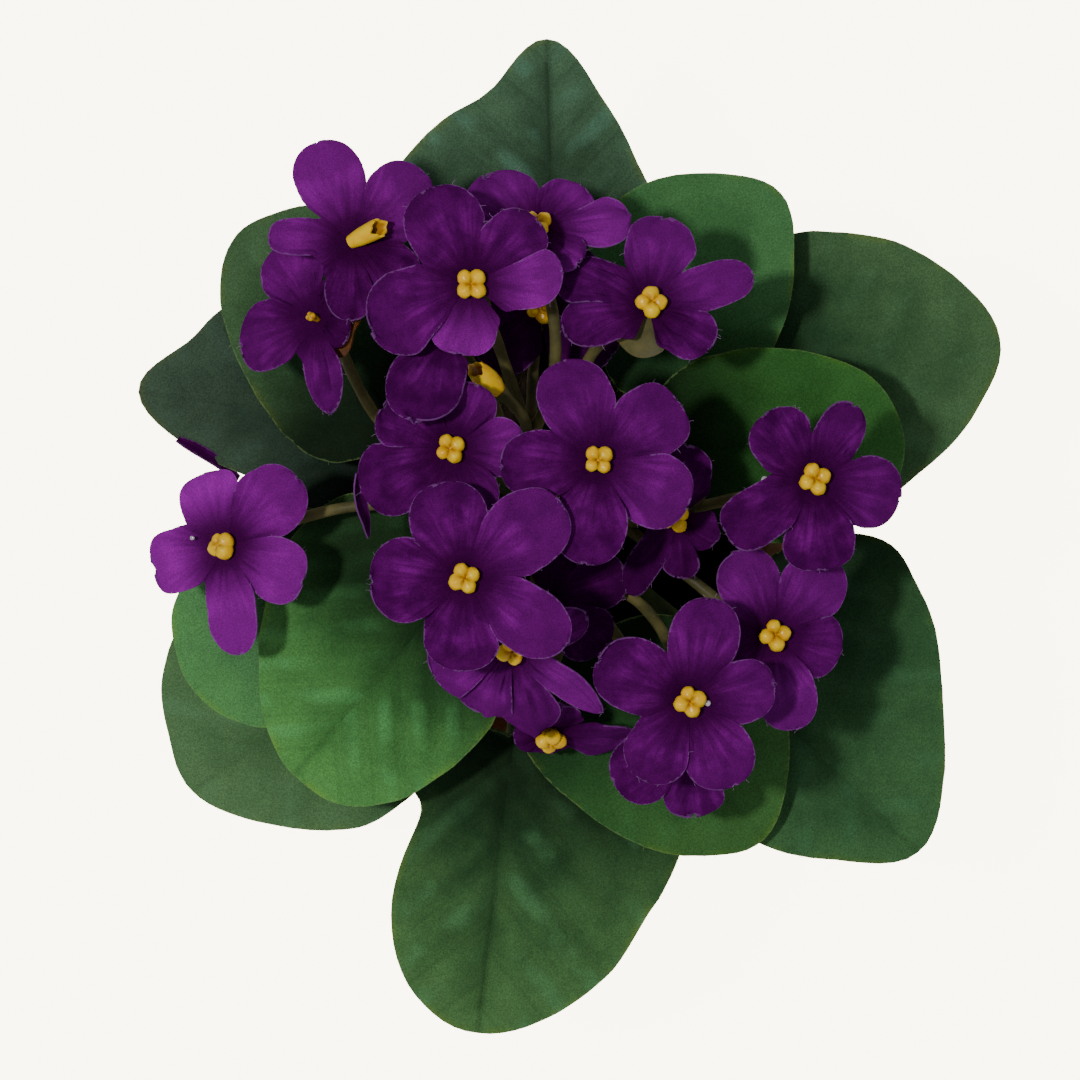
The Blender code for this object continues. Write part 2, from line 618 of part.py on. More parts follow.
def make_anthers(name, foot, normal, turn, material):
    """Yellow centre: a short column that swells into four round anthers."""
    first, second = across_axes(normal, turn)
    points = []
    for height, radius, swell in CENTRE_PROFILE:
        for side in range(CENTRE_SIDES):
            angle = 2 * math.pi * side / CENTRE_SIDES
            reach = (radius + swell * (1 + math.cos(ANTHER_COUNT * angle)) / 2) * MM
            offset = first * math.cos(angle) + second * math.sin(angle)
            points.append(foot + normal * height * MM + offset * reach)
    top = len(points) - CENTRE_SIDES
    points.append(foot + normal * CENTRE_DIP)
    faces = ring_faces(len(CENTRE_PROFILE), CENTRE_SIDES, capped=False)
    for side in range(CENTRE_SIDES):
        faces.append((top + side, top + (side + 1) % CENTRE_SIDES, len(points) - 1))
    return finish(closed_object(name, points, faces), name, material)


def make_cup(name, foot, normal, scale, material):
    """Centre that lost its anthers: a small flared cup, open at its end."""
    first, second = across_axes(normal, 0)
    points = []
    for part, radius in CUP_PROFILE:
        for side in range(CUP_SIDES):
            angle = 2 * math.pi * side / CUP_SIDES
            offset = first * math.cos(angle) + second * math.sin(angle)
            place = normal * CUP_HEIGHT * part + offset * radius * MM
            points.append(foot + place * scale)
    faces = ring_faces(len(CUP_PROFILE), CUP_SIDES)
    return finish(closed_object(name, points, faces), name, material)


def make_centre(flower, material):
    """The yellow centre that stands on a flower's hub."""
    name = f"flower_{flower.number:02d}_centre"
    normal = facing(flower.lean)
    foot = millimetres(flower.place) + normal * (HUB_HALF_HEIGHT + SEAT_GAP)
    if flower.number in OPEN_CENTRES:
        return make_cup(name, foot, normal, 1, material)
    return make_anthers(name, foot, normal, flower.turn, material)


def calyx_seat(place, normal):
    """Where a pedicel ends, below a flower's hub."""
    return place - normal * (HUB_HALF_HEIGHT + SEAT_GAP + CALYX_DEPTH)


def pedicel_path(fork, place, normal, via):
    """Curve from the fork to below a flower, led by the handle via where it has one."""
    end = calyx_seat(place, normal)
    reach = (end - fork).length
    away = (end - fork) * PEDICEL_AWAY + UP * PEDICEL_RISE * reach
    start_handle = millimetres(via) if via else fork + away
    below = (normal * PEDICEL_SQUARE + UP * (1 - PEDICEL_SQUARE)).normalized()
    share = PEDICEL_ARRIVING_ROUTED if via else PEDICEL_ARRIVING
    return bezier(fork, start_handle, end - below * reach * share, end, PEDICEL_STEPS)


def calyx_rings(corners, end, normal):
    """The calyx star's lower and upper ring, with a notch at each corner of the stalk."""
    points = []
    for thickness in (CALYX_THICKNESS, 0):
        for corner, following in zip(corners, corners[1:] + corners[:1]):
            notch = (corner - end, CALYX_NOTCH_RADIUS, 0)
            sepal = ((corner + following) / 2 - end, CALYX_POINT_RADIUS, CALYX_DROOP)
            for outward, radius, droop in (notch, sepal):
                flat = (outward - normal * outward.dot(normal)).normalized()
                points.append(end + flat * radius + normal * (CALYX_DEPTH - droop - thickness))
    return points


def calyx_faces(first):
    """Faces from the stalk's last ring, which starts at point first, over the whole star."""
    count = 2 * CALYX_SEPALS
    lower = first + STALK_SIDES
    upper = lower + count
    middle = upper + count
    faces = []
    for index in range(count):
        after = (index + 1) % count
        corner = first + index // 2
        following = first + (index // 2 + 1) % STALK_SIDES
        faces.append((lower + index, lower + after, upper + after, upper + index))
        faces.append((middle, upper + index, upper + after))
        if index % 2:
            faces.append((corner, following, lower + index))
            faces.append((following, lower + after, lower + index))
        else:
            faces.append((corner, lower + after, lower + index))
    return faces


def make_pedicel(fork, place, normal, via):
    """Stalk from the fork to a flower, ending in a calyx of five pointed sepals."""
    path = pedicel_path(fork, place, normal, via)
    end = path[-1]
    points = tube_rings(path, [PEDICEL_RADIUS] * len(path), STALK_SIDES)
    last_ring = len(points) - STALK_SIDES
    points += calyx_rings(points[last_ring:], end, normal)
    points.append(end + normal * CALYX_DEPTH)
    faces = ring_faces(len(path), STALK_SIDES, capped=False) + calyx_faces(last_ring)
    return closed_object("pedicel", points, faces)


def make_bare_stalk(fork, place, normal):
    """Stalk to the centre that has no petals left, cut flat at its end."""
    reach = (place - fork).length
    away = (place - fork) * BARE_STALK_AWAY + UP * BARE_STALK_RISE * reach
    path = bezier(fork, fork + away, place - normal * BARE_STALK_ARRIVING * reach,
                  place, PEDICEL_STEPS)
    return tube("bare_stalk", path, [PEDICEL_RADIUS] * len(path), STALK_SIDES)


def make_spray(spray, material):
    """One stalk cluster: the peduncle on the crown and a pedicel for each flower."""
    fork = millimetres(spray.fork)
    foot = polar(spray.seat_azimuth, PEDUNCLE_SEAT_RADIUS, CROWN_TOP + SEAT_GAP)
    rise = UP * PEDUNCLE_RISE * (fork - foot).length
    path = bezier(foot, foot + rise, fork - (fork - foot) * PEDUNCLE_ARRIVING,
                  fork + (fork - foot).normalized() * PEDUNCLE_OVERRUN, PEDUNCLE_STEPS)
    peduncle = tube("peduncle", path, [PEDUNCLE_RADIUS] * len(path), STALK_SIDES, UP)
    pedicels = []
    for flower in FLOWERS:
        if flower.spray == spray.name:
            normal = facing(flower.lean)
            pedicels.append(make_pedicel(fork, millimetres(flower.place), normal, flower.via))
    if BARE_CUP[0] == spray.name:
        pedicels.append(make_bare_stalk(fork, millimetres(BARE_CUP[1]), facing(BARE_CUP[2])))
    joined = with_boolean(spray.name, peduncle, pedicels, "UNION")
    return finish(joined, spray.name, material)


def clear_scene():
    for item in list(bpy.data.objects):
        bpy.data.objects.remove(item)


def build():
    """Every piece of the plant, in place."""
    clear_scene()
    paints = {name: paint(name, *look) for name, look in COLOURS.items()}
    make_pot(paints["clay"])
    make_soil(paints["soil"])
    make_crown(paints["crown"])
    for leaf in LEAVES:
        make_leaf(leaf)
    for spray in SPRAYS:
        make_spray(spray, paints["stalk"])
    for flower in FLOWERS:
        make_petals(flower, paints["petal"])
        make_centre(flower, paints["anther"])
    cup_normal = facing(BARE_CUP[2])
    cup_foot = millimetres(BARE_CUP[1]) + cup_normal * SEAT_GAP
    make_cup("bare_cup", cup_foot, cup_normal, BARE_CUP_SCALE, paints["anther"])


build()
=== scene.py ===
"""Looks of the potted violet: flocked cloth leaves and flowers on moulded plastic stalks.

Lengths are millimetres until a mesh is made, with +Z up. Azimuths are degrees
anticlockwise from +X, seen from above.
"""

import json
import math
from collections import namedtuple

import bmesh
import bpy
import numpy as np
from mathutils import Matrix, Vector

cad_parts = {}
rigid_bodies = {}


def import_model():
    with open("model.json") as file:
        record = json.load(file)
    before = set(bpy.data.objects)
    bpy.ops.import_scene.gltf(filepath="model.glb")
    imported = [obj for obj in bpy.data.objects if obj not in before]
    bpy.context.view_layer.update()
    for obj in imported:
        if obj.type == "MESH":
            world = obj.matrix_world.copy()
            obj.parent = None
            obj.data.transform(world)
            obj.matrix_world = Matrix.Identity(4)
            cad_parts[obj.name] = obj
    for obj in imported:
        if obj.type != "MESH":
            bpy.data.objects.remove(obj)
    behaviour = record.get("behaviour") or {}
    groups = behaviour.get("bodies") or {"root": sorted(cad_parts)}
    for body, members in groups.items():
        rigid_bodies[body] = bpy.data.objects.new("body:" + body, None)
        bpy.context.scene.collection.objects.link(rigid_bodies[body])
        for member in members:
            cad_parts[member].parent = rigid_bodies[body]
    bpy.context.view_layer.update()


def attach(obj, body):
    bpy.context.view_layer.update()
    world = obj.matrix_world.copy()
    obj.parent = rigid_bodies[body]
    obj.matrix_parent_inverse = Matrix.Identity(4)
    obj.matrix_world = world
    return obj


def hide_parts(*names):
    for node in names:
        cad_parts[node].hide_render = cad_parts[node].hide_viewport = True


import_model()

MM = 0.001
UP = np.array((0.0, 0.0, 1.0))
FULL_TURN = 6.28  # in radians, for random turns
SEAT_GAP = 0.3  # clearance between pieces that touch on the real thing

# Camera, straight down on the bush as the photograph was taken, light and floor
CAMERA_PLACE = (-0.0047, -0.0036, 1.13)
CAMERA_SENSOR = 36.0
CAMERA_FOCUS = 4348.0  # focal length in pixels of the square frame
CAMERA_FRAME = 1080.0
# Area lights: name, place and size in metres, power and colour
LIGHTS = (("key", (-0.55, 0.06, 1.85), 0.12, 19, (1.0, 0.98, 0.95)),
          ("fill", (0.3, -0.9, 1.5), 1.4, 3, (0.95, 0.98, 1.0)))
LIGHT_TARGET = (0, 0, 0.12)
SKY_COLOUR, SKY_STRENGTH = (0.95, 0.97, 1.0, 1), 0.28
FLOOR_REACH = 4000.0
FLOOR_GLOW = 8.5  # the paper is lit from below, as the photograph's white ground is

# Pot, soil and crown
POT_HEIGHT = 90.0
POT_COLLAR_HEIGHT = 20.0
POT_FLOOR = 5.0
POT_FOOT_RADIUS = 36.0
POT_NECK_RADIUS = 50.0
POT_RIM_RADIUS = 55.0
POT_MOUTH_RADIUS = 50.0
POT_FLOOR_RADIUS = 32.0
POT_EDGE = 1.5  # bevel of the foot and the rim
POT_SIDES = 160
DRAIN_COUNT = 4
DRAIN_CIRCLE = 18.0
DRAIN_RADIUS = 3.0
SOIL_EDGE_HEIGHT = 77.0
SOIL_HOLE_RADIUS = 10.9
SOIL_HOLE_BOTTOM = 65.0
SOIL_DOME = 3.0
SOIL_LUMPS = ((0.8, 13, 3), (0.6, 5, 4), (0.35, 2.4, 8))  # height, width and seed
CROWN_TOP, CROWN_BOTTOM = 100.0, 65.3
CROWN_PROFILE = ((10.0, CROWN_BOTTOM), (10.4, 72), (9.6, 86), (8.6, 97), (7.4, 100))

# Leaves
BLADE_HALF_THICKNESS = 0.28
BLADE_SPOKES = 150
BLADE_RINGS = 34
BLADE_POLE = 0.3
BLADE_HALF_WIDTH = 0.45
FOLD_CREST = 1.5
WAVE_LIMIT = 1.2
PETIOLE_RADIUS = 2.1
LOWEST_LEVEL = 84  # of the stalks on the crown
VEIN_SLOPE, VEIN_BEND = 0.85, 0.006  # how steeply side veins leave the midrib, and curve
PUFF_HEIGHT, MIDRIB_DEPTH = 1.3, 1.1

# Flowers
PETAL_WIDEST = 0.62  # part of the length
PETAL_HALF_THICKNESS = 0.17
PETAL_ROWS = 30
PETAL_COLUMNS = 23
PETAL_ROLL = 7
PETAL_LIFT = 1.0
RANDOM_TONE = 0.45  # the brightest that chance gives
HUB_HALF_HEIGHT = 1.0
SLIT_START, SLIT_FREE = 5.0, 9.0  # mm from the middle where petals start to part, and are apart
SLIT_SHARPNESS = 18
NARROWEST_GAP, WIDEST_GAP = 0.3, 0.8  # half the angle between petals, in radians
WEDGE_OVERLAP = 1.07
CREASE_COUNT = 5
ANTHER_COUNT = 4
HEAD_SINK = 0.6  # of the anther head in its hub
STRIP_STEPS, STRIP_COLUMNS = 24, 9
FIBRE_MARGIN = 0.02  # how near the cut edge loose fibres start
PEDUNCLE_RADIUS = 1.7
PEDICEL_RADIUS = 1.3
PEDUNCLE_CIRCLE = 5.2  # on the crown
CALYX_DEPTH = 3.2
SEPAL_BASE, SEPAL_POINT = 2.3, 5.0  # reach of the funnel, and of the points past it
SEPAL_SPOKES, SEPAL_HALF_THICKNESS = 90, 0.3

# Reflectances of the petals and anthers, among them painted light, sheen and shade, and the leaves' pale
# backing as it displays
PETAL_DEEP = (0.055, 0.000, 0.066, 1.0)
PETAL_BRIGHT = (0.098, 0.000, 0.114, 1.0)
# painted light: the colour a petal shows where it faces the lamp
PETAL_PAINTED_LIGHT = (0.310, 0.012, 0.370, 1.0)
# painted sheen: lighter streaks along the crease ridges
PETAL_PAINTED_SHEEN = (0.220, 0.008, 0.260, 1.0)
# painted shade: towards the hub and on petals lying in the bush's shade
PETAL_PAINTED_SHADE = (0.030, 0.000, 0.032, 1.0)
PETAL_FRAY = (0.30, 0.11, 0.38, 1.0)
ANTHER_DEEP = (1.00, 0.52, 0.000, 1.0)
ANTHER_BRIGHT = (1.00, 0.68, 0.000, 1.0)
# the seams' orange-brown, partly painted shade between and under the anthers
ANTHER_SEAM_AND_SHADE = (0.34, 0.13, 0.000, 1.0)
LEAF_FRAY = (120, 146, 84)

# A leaf: seat, where its stalk meets it (azimuth, radius, height), level of the stalk on
# the crown, azimuth of the tip, arch, droop, fold, wave (height, count, phase), pressed
# veins (spacing, shift, depth), its display colours towards the stalk and towards the tip,
# partly the cloth's own green and partly painted shade where the bush shades the leaf,
# and radii round the seat every 15 degrees anticlockwise from the tip.
Leaf = namedtuple("Leaf", "name seat level axis arch droop fold wave veins dark light outline")

LEAVES = (
    Leaf("leaf_back", (91, 53, 108), 84, 92, 4, 6, 4, (1.5, 5, 40), (13, 0.2, 1.5),
         (42, 64, 47), (78, 110, 82),
         (61.8, 51.5, 49.5, 48.5, 46.5, 39.5, 30, 20, 12, 8, 5, 3.5,
          3, 4.5, 7.5, 11, 14, 17.5, 21, 24, 28.5, 33, 38.5, 48.5)),
    Leaf("leaf_back_right", (60, 37, 122), 91, 54, 3, 7, 3, (1.2, 4, 100), (15, 0.5, 0.3),
         (46, 90, 48), (76, 124, 74),
         (56, 53, 48.5, 42.5, 31.5, 19, 11, 8, 6, 5, 4, 3.5,
          3.5, 4, 5, 6, 7.5, 9, 11, 15.5, 21.5, 28.5, 36.5, 46)),
    Leaf("leaf_right", (25, 48, 106), 84, 21.5, 4, 8, 4, (1.3, 5, 0), (16, 0.1, 0.4),
         (36, 68, 42), (78, 112, 72),
         (65.5, 63, 58.5, 53, 47.5, 38, 27, 17.5, 10, 6.5, 5.5, 4.5,
          4, 4, 4, 5, 8, 12, 16, 22, 28.5, 35.5, 43.5, 55)),
    Leaf("leaf_right_upper", (31, 31, 134), 97, 7, 3, 7, 3, (1.0, 4, 60), (14, 0.7, 0.35),
         (36, 78, 30), (58, 108, 50),
         (52.5, 48, 38.5, 31, 25, 21, 17, 14, 11, 8.5, 6, 5,
          5, 5.5, 6.5, 8, 9.5, 12, 14.5, 18.5, 24, 33, 43, 51)),
    Leaf("leaf_front_right", (-40, 44, 106), 84, -44, 4, 7, 5, (1.6, 5, 130), (15, 0.3, 0.7),
         (34, 66, 40), (68, 108, 65),
         (71, 65, 58, 55, 52, 48.5, 34, 16.5, 8, 6, 4.5, 4,
          3.5, 3, 4, 5, 6.5, 9, 11.5, 16.5, 25.5, 38, 48.5, 59)),
    Leaf("leaf_front_right_upper", (-72, 31, 122), 91, -49, 3, 6, 3, (1.1, 4, 10), (14, 0.6, 0.5),
         (38, 80, 40), (62, 104, 52),
         (58, 52, 45, 36.5, 27, 19, 13, 8.5, 6.5, 5.5, 4.5, 4.5,
          4.5, 5.5, 7.5, 10, 13, 20, 25.5, 29.5, 33, 38, 45.5, 53)),
    Leaf("leaf_front", (-102, 53, 106), 84, -97, 5, 7, 5, (1.7, 5, 75), (14, 0.0, 1.3),
         (34, 66, 38), (78, 118, 68),
         (69, 64.5, 58, 51, 47.5, 43.5, 35.5, 25.5, 14, 6.5, 4.5, 3.5,
          3, 2.5, 2.5, 4, 6.5, 10.5, 16, 20.5, 25, 28, 47.5, 63)),
    Leaf("leaf_front_left_upper", (-144, 37, 130), 97, -131, 3, 5, 3, (1.2, 5, 20), (11, 0.4, 1.2),
         (52, 96, 50), (86, 144, 75),
         (48, 47.5, 42.5, 36, 31, 27, 22, 18, 16, 15.5, 15, 15,
          16, 19, 22.5, 26.5, 31, 34.5, 36, 37, 37.5, 39, 41.5, 45.5)),
    Leaf("leaf_left_small", (-162, 56, 117), 91, -147, 2, 5, 3, (1.0, 4, 45), (13, 0.0, 0.4),
         (70, 110, 74), (84, 140, 80),
         (39, 37, 33.5, 27.5, 20, 13.5, 7.5, 6, 5, 4.5, 4.5, 4.5,
          4.5, 6, 10, 15, 20, 22.5, 25, 27.5, 29.5, 33, 37, 38.5)),
    Leaf("leaf_front_left", (-143, 51, 101), 84, -145, 4, 7, 4, (1.4, 5, 90), (15, 0.5, 0.7),
         (58, 92, 56), (86, 122, 80),
         (57, 51, 45.5, 41.5, 35.5, 29.5, 23.5, 18, 12, 7.5, 5.5, 4.5,
          4, 3.5, 3.5, 4, 4.5, 6, 11, 19.5, 34, 48, 53.5, 55.5)),
    Leaf("leaf_left_pointed", (150, 46, 106), 84, 172, 3, 6, 3, (1.2, 5, 15), (13, 0.3, 0.6),
         (34, 52, 42), (66, 86, 68),
         (60.5, 46.5, 33.5, 30, 26.5, 22.5, 19, 15.5, 12, 9, 6.5, 5,
          4, 4, 4, 5, 6, 7, 9, 15, 29, 41, 47.5, 52)),
    Leaf("leaf_back_left", (144, 53, 122), 91, 134, 3, 6, 3, (1.2, 4, 0), (14, 0.5, 0.4),
         (34, 62, 34), (72, 104, 68),
         (48.5, 42, 34, 28.5, 25, 23, 21.5, 19.5, 17, 14, 10, 7.5,
          6, 6, 7.5, 9, 11.5, 14, 18.5, 25.5, 32.5, 39, 44, 47.5)),
)
# Leaves with painted shade towards the back of the bush, where the flowers above shade them: where it begins
# and is darkest, in mm
SHADED_BEHIND = {"leaf_front_left_upper": (-14, 5)}

Spray = namedtuple("Spray", "name seat_azimuth fork")

SPRAYS = (
    Spray("spray_left_back", 130, (-12, 14, 130)),
    Spray("spray_back", 85, (-7, 20, 137)),
    Spray("spray_right_back", 40, (9, 13, 138)),
    Spray("spray_right", -5, (14, 0, 138)),
    Spray("spray_front", -60, (5, -14, 137)),
    Spray("spray_left", 185, (-14, -2, 136)),
)

# A petal: azimuth from above, length, width as a part of the length, how bright the cloth
# shows from 0 to 1, partly its own colour and partly painted light where it faces the lamp,
# below 0 painted shade on petals in the bush's shade (or None for a random value), how far the
# tip bends up, the depth of its fold along its middle, and how square the tip is.
Petal = namedtuple("Petal", "azimuth length breadth tone bend fold square", defaults=(None, 0, 0, 2.3))

# A flower: its middle, its lean (angle, azimuth), azimuth of its first anther, how
# creased it is, the handle that leads its stalk, and its petals.
Flower = namedtuple("Flower", "number spray place lean turn creased via petals")

FLOWERS = [
    Flower(number, "spray_" + spray, np.array(place, float), lean, turn, creased, via,
           [Petal(*petal) for petal in petals])
    for number, (spray, place, lean, turn, creased, via, *petals) in enumerate((
        ("left_back", (-46, 62.2, 172), (12, 30), 10, 0.8, (-14, 44, 128),
         (110, 23.2, 0.7, 0.5, 0, 0.5), (42, 22.7, 0.74, 0.4), (177, 18.5, 0.46, 0.35, 0, 0, 2.9),
         (267, 17.5, 0.62, -0.35, -1), (318, 17, 0.84, 0, 0, 0.6)),
        ("left_back", (-54.3, 45.6, 164), (28, 165), 20, 1.9, (-45, 6, 126),
         (198, 20.4, 0.82, 0.12), (112, 19.5, 0.9, 0.2, 0, 0.8), (277, 21.5, 0.46, 0.1, 0, 2, 1.7),
         (52, 9, 0.8, -0.6), (325, 9, 0.8, -0.6)),
        ("back", (-19.5, 52.3, 184), (8, 250), 45, 0.9, None,
         (115, 22.4, 0.78, 0.03), (44, 19.7, 0.74, 0.05), (6, 19.8, 0.7, 0.5),
         (262, 15.6, 0.92, 0.5, 2.5, 0, 2.8), (204, 24.4, 0.76, 0.05)),
        ("back", (-5.4, 64.6, 171), (38, 90), 30, 1.5, (5, 38, 170),
         (135, 18.8, 0.9, 0.35, 1, 0.5), (45, 16, 0.8, 0.35), (9, 21, 0.64, 0.55, 0, 0.8),
         (-40, 13, 0.8), (222, 13, 0.8)),
        ("right_back", (19.4, 47.9, 173), (20, 65), 0, 1.6, (-5, 42, 148),
         (80, 21.2, 0.76, 0.3), (18, 24.7, 0.42, 0.32), (-35, 16.3, 0.78, 0.05), (196, 20, 0.62, 0),
         (160, 21, 0.64, 0)),
        ("left", (-23.9, 16.5, 176), (10, 190), 30, 1.3, None,
         (205, 22.6, 0.77, 0), (150, 18, 0.8, 0), (-66, 16, 0.84, 0.1), (2, 16, 0.84, 0.38, 1.5, 2),
         (68, 15, 0.84, 0.1, 1.5, 1.5)),
        ("right_back", (7.9, 13.6, 184), (5, 60), 40, 1.2, None,
         (110, 23, 0.73, 0.16), (36, 22, 0.75, 0.16, 0, 0, 3), (-27, 21.8, 0.77, 0.22),
         (-97, 22.6, 0.72, -0.1), (184, 21, 0.72, 0)),
        ("left", (-20.8, -11.8, 188), (4, 200), 25, 0.8, None,
         (106, 21.2, 0.81, 0.02), (38, 26.3, 0.66, 0.18), (-33, 26.3, 0.57, 0.18), (-94, 20.3, 0.84, 0.02),
         (182, 20.6, 0.9, 0)),
        ("left", (-10.9, -26.6, 172), (36, 270), 15, 2.2, None,
         (205, 20, 0.86, 0.3, -1, 0.5), (248, 21, 0.78, 0.25, 0, 1), (-76, 26, 0.56, 0.15, 0, 1.2),
         (-34, 26, 0.32, 0.45, 2, 0, 1.8), (20, 18, 0.6, 0, 0, 1)),
        ("right", (55.6, 9.7, 170), (8, 20), 20, 1.2, None,
         (128, 18, 0.86, 0), (61, 19, 0.58, 0.08), (-12, 20, 0.81, 0.12), (-85, 20, 0.8, 0, 0, 0, 3),
         (213, 23, 0.56, -0.2, 0, 0, 3)),
        ("right", (47.2, -24.8, 161), (10, 10), 10, 1.2, None,
         (115, 20.5, 0.74, 0.3), (50, 22.5, 0.7, 0.32), (-13, 16.2, 0.9, 0.1), (-77, 21.7, 0.62, 0.3),
         (200, 18, 0.8, 0)),
        ("front", (28, -38.7, 178), (5, 300), 15, 1, (24, -12, 139),
         (77, 22.9, 0.69, 0.13), (10, 18.8, 0.76, 0.14), (-62, 21.3, 0.74, 0.13), (238, 20.2, 0.73, 0.05),
         (156, 21.9, 0.74, 0.03)),
        ("left", (-75.6, -4.7, 150), (22, 180), 35, 0.8, (-45, 14, 150),
         (108, 17, 0.86, 0.95, 0, 0, 3.2), (43, 23, 0.72, 0.4, -1), (-25, 20.5, 0.76, 0.6, 0, 0, 2.9),
         (-82, 24.9, 0.53, 0.6), (198, 18.5, 0.8, 0.8, 0, 0, 3.4)),
        ("front", (-2.6, -47.2, 142), (60, 280), 0, 1.2, None,
         (-6, 20, 0.9, 0.15), (70, 13, 0.84, 0.1), (130, 12, 0.84, 0.1), (190, 8, 0.84, 0.1),
         (280, 10, 0.84, 0.1)),
        ("front", (29.1, -49.8, 156), (20, 300), 0, 1, None,
         (-86, 17, 0.84, 0.05), (-20, 15, 0.84, 0), (60, 15, 0.84, 0), (130, 15, 0.84, 0),
         (205, 19, 0.84, 0)),
        ("back", (-4.7, 49, 146), (10, 300), 20, 1, None,
         (-135, 18, 0.84, -0.6), (-33, 20, 0.84, -0.6), (40, 17, 0.84, -0.6), (110, 16, 0.84, -0.6),
         (180, 16, 0.84, -0.6)),
        ("left_back", (-25.5, 43, 173), (28, 72), 0, 1, None,
         (-108, 25, 0.68, 0), (178, 10, 0.9, 0), (110, 8, 0.9, 0), (45, 5, 0.9, 0), (-20, 5, 0.9, 0)),
        ("right", (26.5, 1.9, 160), (30, 200), 30, 1, None,
         (85, 16, 0.84, -0.5), (150, 15, 0.84, -0.5), (235, 23.5, 0.36, -0.5), (-85, 14, 0.8, -0.5),
         (-40, 10, 0.84, -0.5)),
        ("front", (-3.2, -17.2, 147), (10, 60), 0, 1, None,
         (75, 12, 0.84, -0.7), (20, 19, 0.7, -0.5), (-40, 17, 0.84, -0.5), (-110, 12, 0.84, -0.8),
         (180, 7, 0.84, -0.8)),
    ), 1)]

OPEN_CENTRE = 1  # the flower that lost its anthers
TUBE_LEAN, TUBE_LENGTH, TUBE_RISE = (62, 24), 7.2, 0.8  # its open tube lies over to one side
DRY_CALYX = 2  # the flower with a browned calyx
SEPAL_LENGTHS = {2: (10, -25), 5: (11.5, 252)}  # flowers with sepals drawn out, and their azimuth
# Anther heads unlike the rest: ball radius, spread, unevenness, column radius and height
ODD_HEADS = {2: (0.8, 0.35, 0.1, 0.7, 3.2), 13: (1.75, 1.35, 0.3, 1.9, 3.0), 19: (0.8, 0.6, 0.2, 0.8, 1.2)}

# The bare cup's spray, place and lean, and profiles of the small open tubes: radius, part
# of the height, and how far the ring follows the tear
BARE_CUP = ("spray_back", (-13.8, 29.4, 166), (62, 138))
BARE_CUP_SCALE = 1.25
CUP_HEIGHT = 6.0
TUBE_WALL = ((1.5, -0.1, 0), (1.75, 0.1, 0), (2.0, 0.3, 0), (2.15, 0.6, 0.3), (2.25, 0.9, 0.9),
             (2.2, 1.0, 1.0), (1.75, 1.02, 1.0), (1.55, 0.9, 0.8), (1.4, 0.5, 0.1), (1.2, 0.35, 0))
CUP_WALL = ((1.1, -0.1, 0), (1.5, 0.0, 0), (1.95, 0.18, 0), (2.2, 0.45, 0.1), (2.1, 0.75, 0.5),
            (1.7, 1.0, 1.0), (1.4, 1.0, 1.0), (1.2, 0.88, 0.7), (0.9, 0.8, 0.3), (0.6, 0.77, 0))

# Beads of glue, pale partly as painted glints: pixel, height, size in mm
GLUE_BEADS = ((707, 703, 179.3, 0.75), (765, 480, 169.3, 0.8), (192, 538, 151.0, 0.5),
              (237, 587, 149.8, 0.35), (506, 452, 178.6, 0.6))
# Strips of cloth seen from their side: how bright the cloth shows (below 0 darker), twist in
# degrees, and pixel, height and width in mm along the strip
STRIPS = {
    "folded_petal_strip": (0.02, 60, ((360, 470, 168, 3.0), (359, 487, 166, 4.6), (362, 504, 164, 5.2),
                                      (367, 520, 161, 3.6), (369, 536, 158, 1.2))),
    "fallen_petal_strip": (-0.55, 30, ((178, 439, 107, 1.6), (190, 445, 108, 2.8), (203, 452, 109, 3.2),
                                       (216, 460, 109, 3.0), (228, 469, 108, 2.4), (239, 478, 107, 1.4))),
}


# Directions and curves


def polar(azimuth, radius, height=0.0):
    """The point at an azimuth in degrees, a radius and a height."""
    angle = math.radians(azimuth)
    return np.array((radius * math.cos(angle), radius * math.sin(angle), height))


def unit(vectors):
    vectors = np.asarray(vectors, float)
    return vectors / np.maximum(np.linalg.norm(vectors, axis=-1, keepdims=True), 1e-9)


def smoothstep(low, high, value):
    share = np.clip((value - low) / (high - low), 0, 1)
    return share * share * (3 - 2 * share)


def facing(lean):
    """Unit vector that a flower faces: straight up, leaned towards an azimuth."""
    angle = math.radians(lean[0])
    return polar(lean[1], math.sin(angle), math.cos(angle))


def petal_direction(normal, azimuth):
    """Direction in the flower's plane that shows at an azimuth from above."""
    flat = polar(azimuth, 1)
    return unit(flat - UP * flat.dot(normal) / normal[2])


def bezier(start, start_handle, end_handle, end, steps):
    """Points along a cubic curve, both ends included."""
    t = np.linspace(0, 1, steps + 1)[:, None]
    s = 1 - t
    return start * s ** 3 + start_handle * 3 * s * s * t + end_handle * 3 * s * t * t + end * t ** 3


def ripple(first, second, size, seed):
    """Smooth irregular waves, from -1 to 1, over two coordinates in mm."""
    draw = np.random.default_rng(seed)
    total = 0
    for _ in range(5):
        heading, phase = draw.uniform(0, 2 * math.pi), draw.uniform(0, 6.3)
        stretch = draw.uniform(0.6, 1.6)
        along = first * math.cos(heading) + second * math.sin(heading)
        total = total + np.sin(2 * math.pi * along / (size * stretch) + phase)
    return total / 5


# Meshes


def linked(name, data):
    """A new object in the scene, its data named like it."""
    data.name = name
    made = bpy.data.objects.new(name, data)
    bpy.context.scene.collection.objects.link(made)
    return made


def mesh_of(points, edges=(), faces=(), **attributes):
    """A mesh from points in mm, with named attributes on its points."""
    mesh = bpy.data.meshes.new("mesh")
    points = np.asarray(points, float).reshape(-1, 3) * MM
    mesh.from_pydata(points.tolist(), edges, [list(face) for face in faces])
    for key, values in attributes.items():
        values = np.asarray(values, float)
        kind, field = ("FLOAT_VECTOR", "vector") if values.ndim > 1 else ("FLOAT", "value")
        mesh.attributes.new(key, kind, "POINT").data.foreach_set(field, values.ravel())
    return mesh


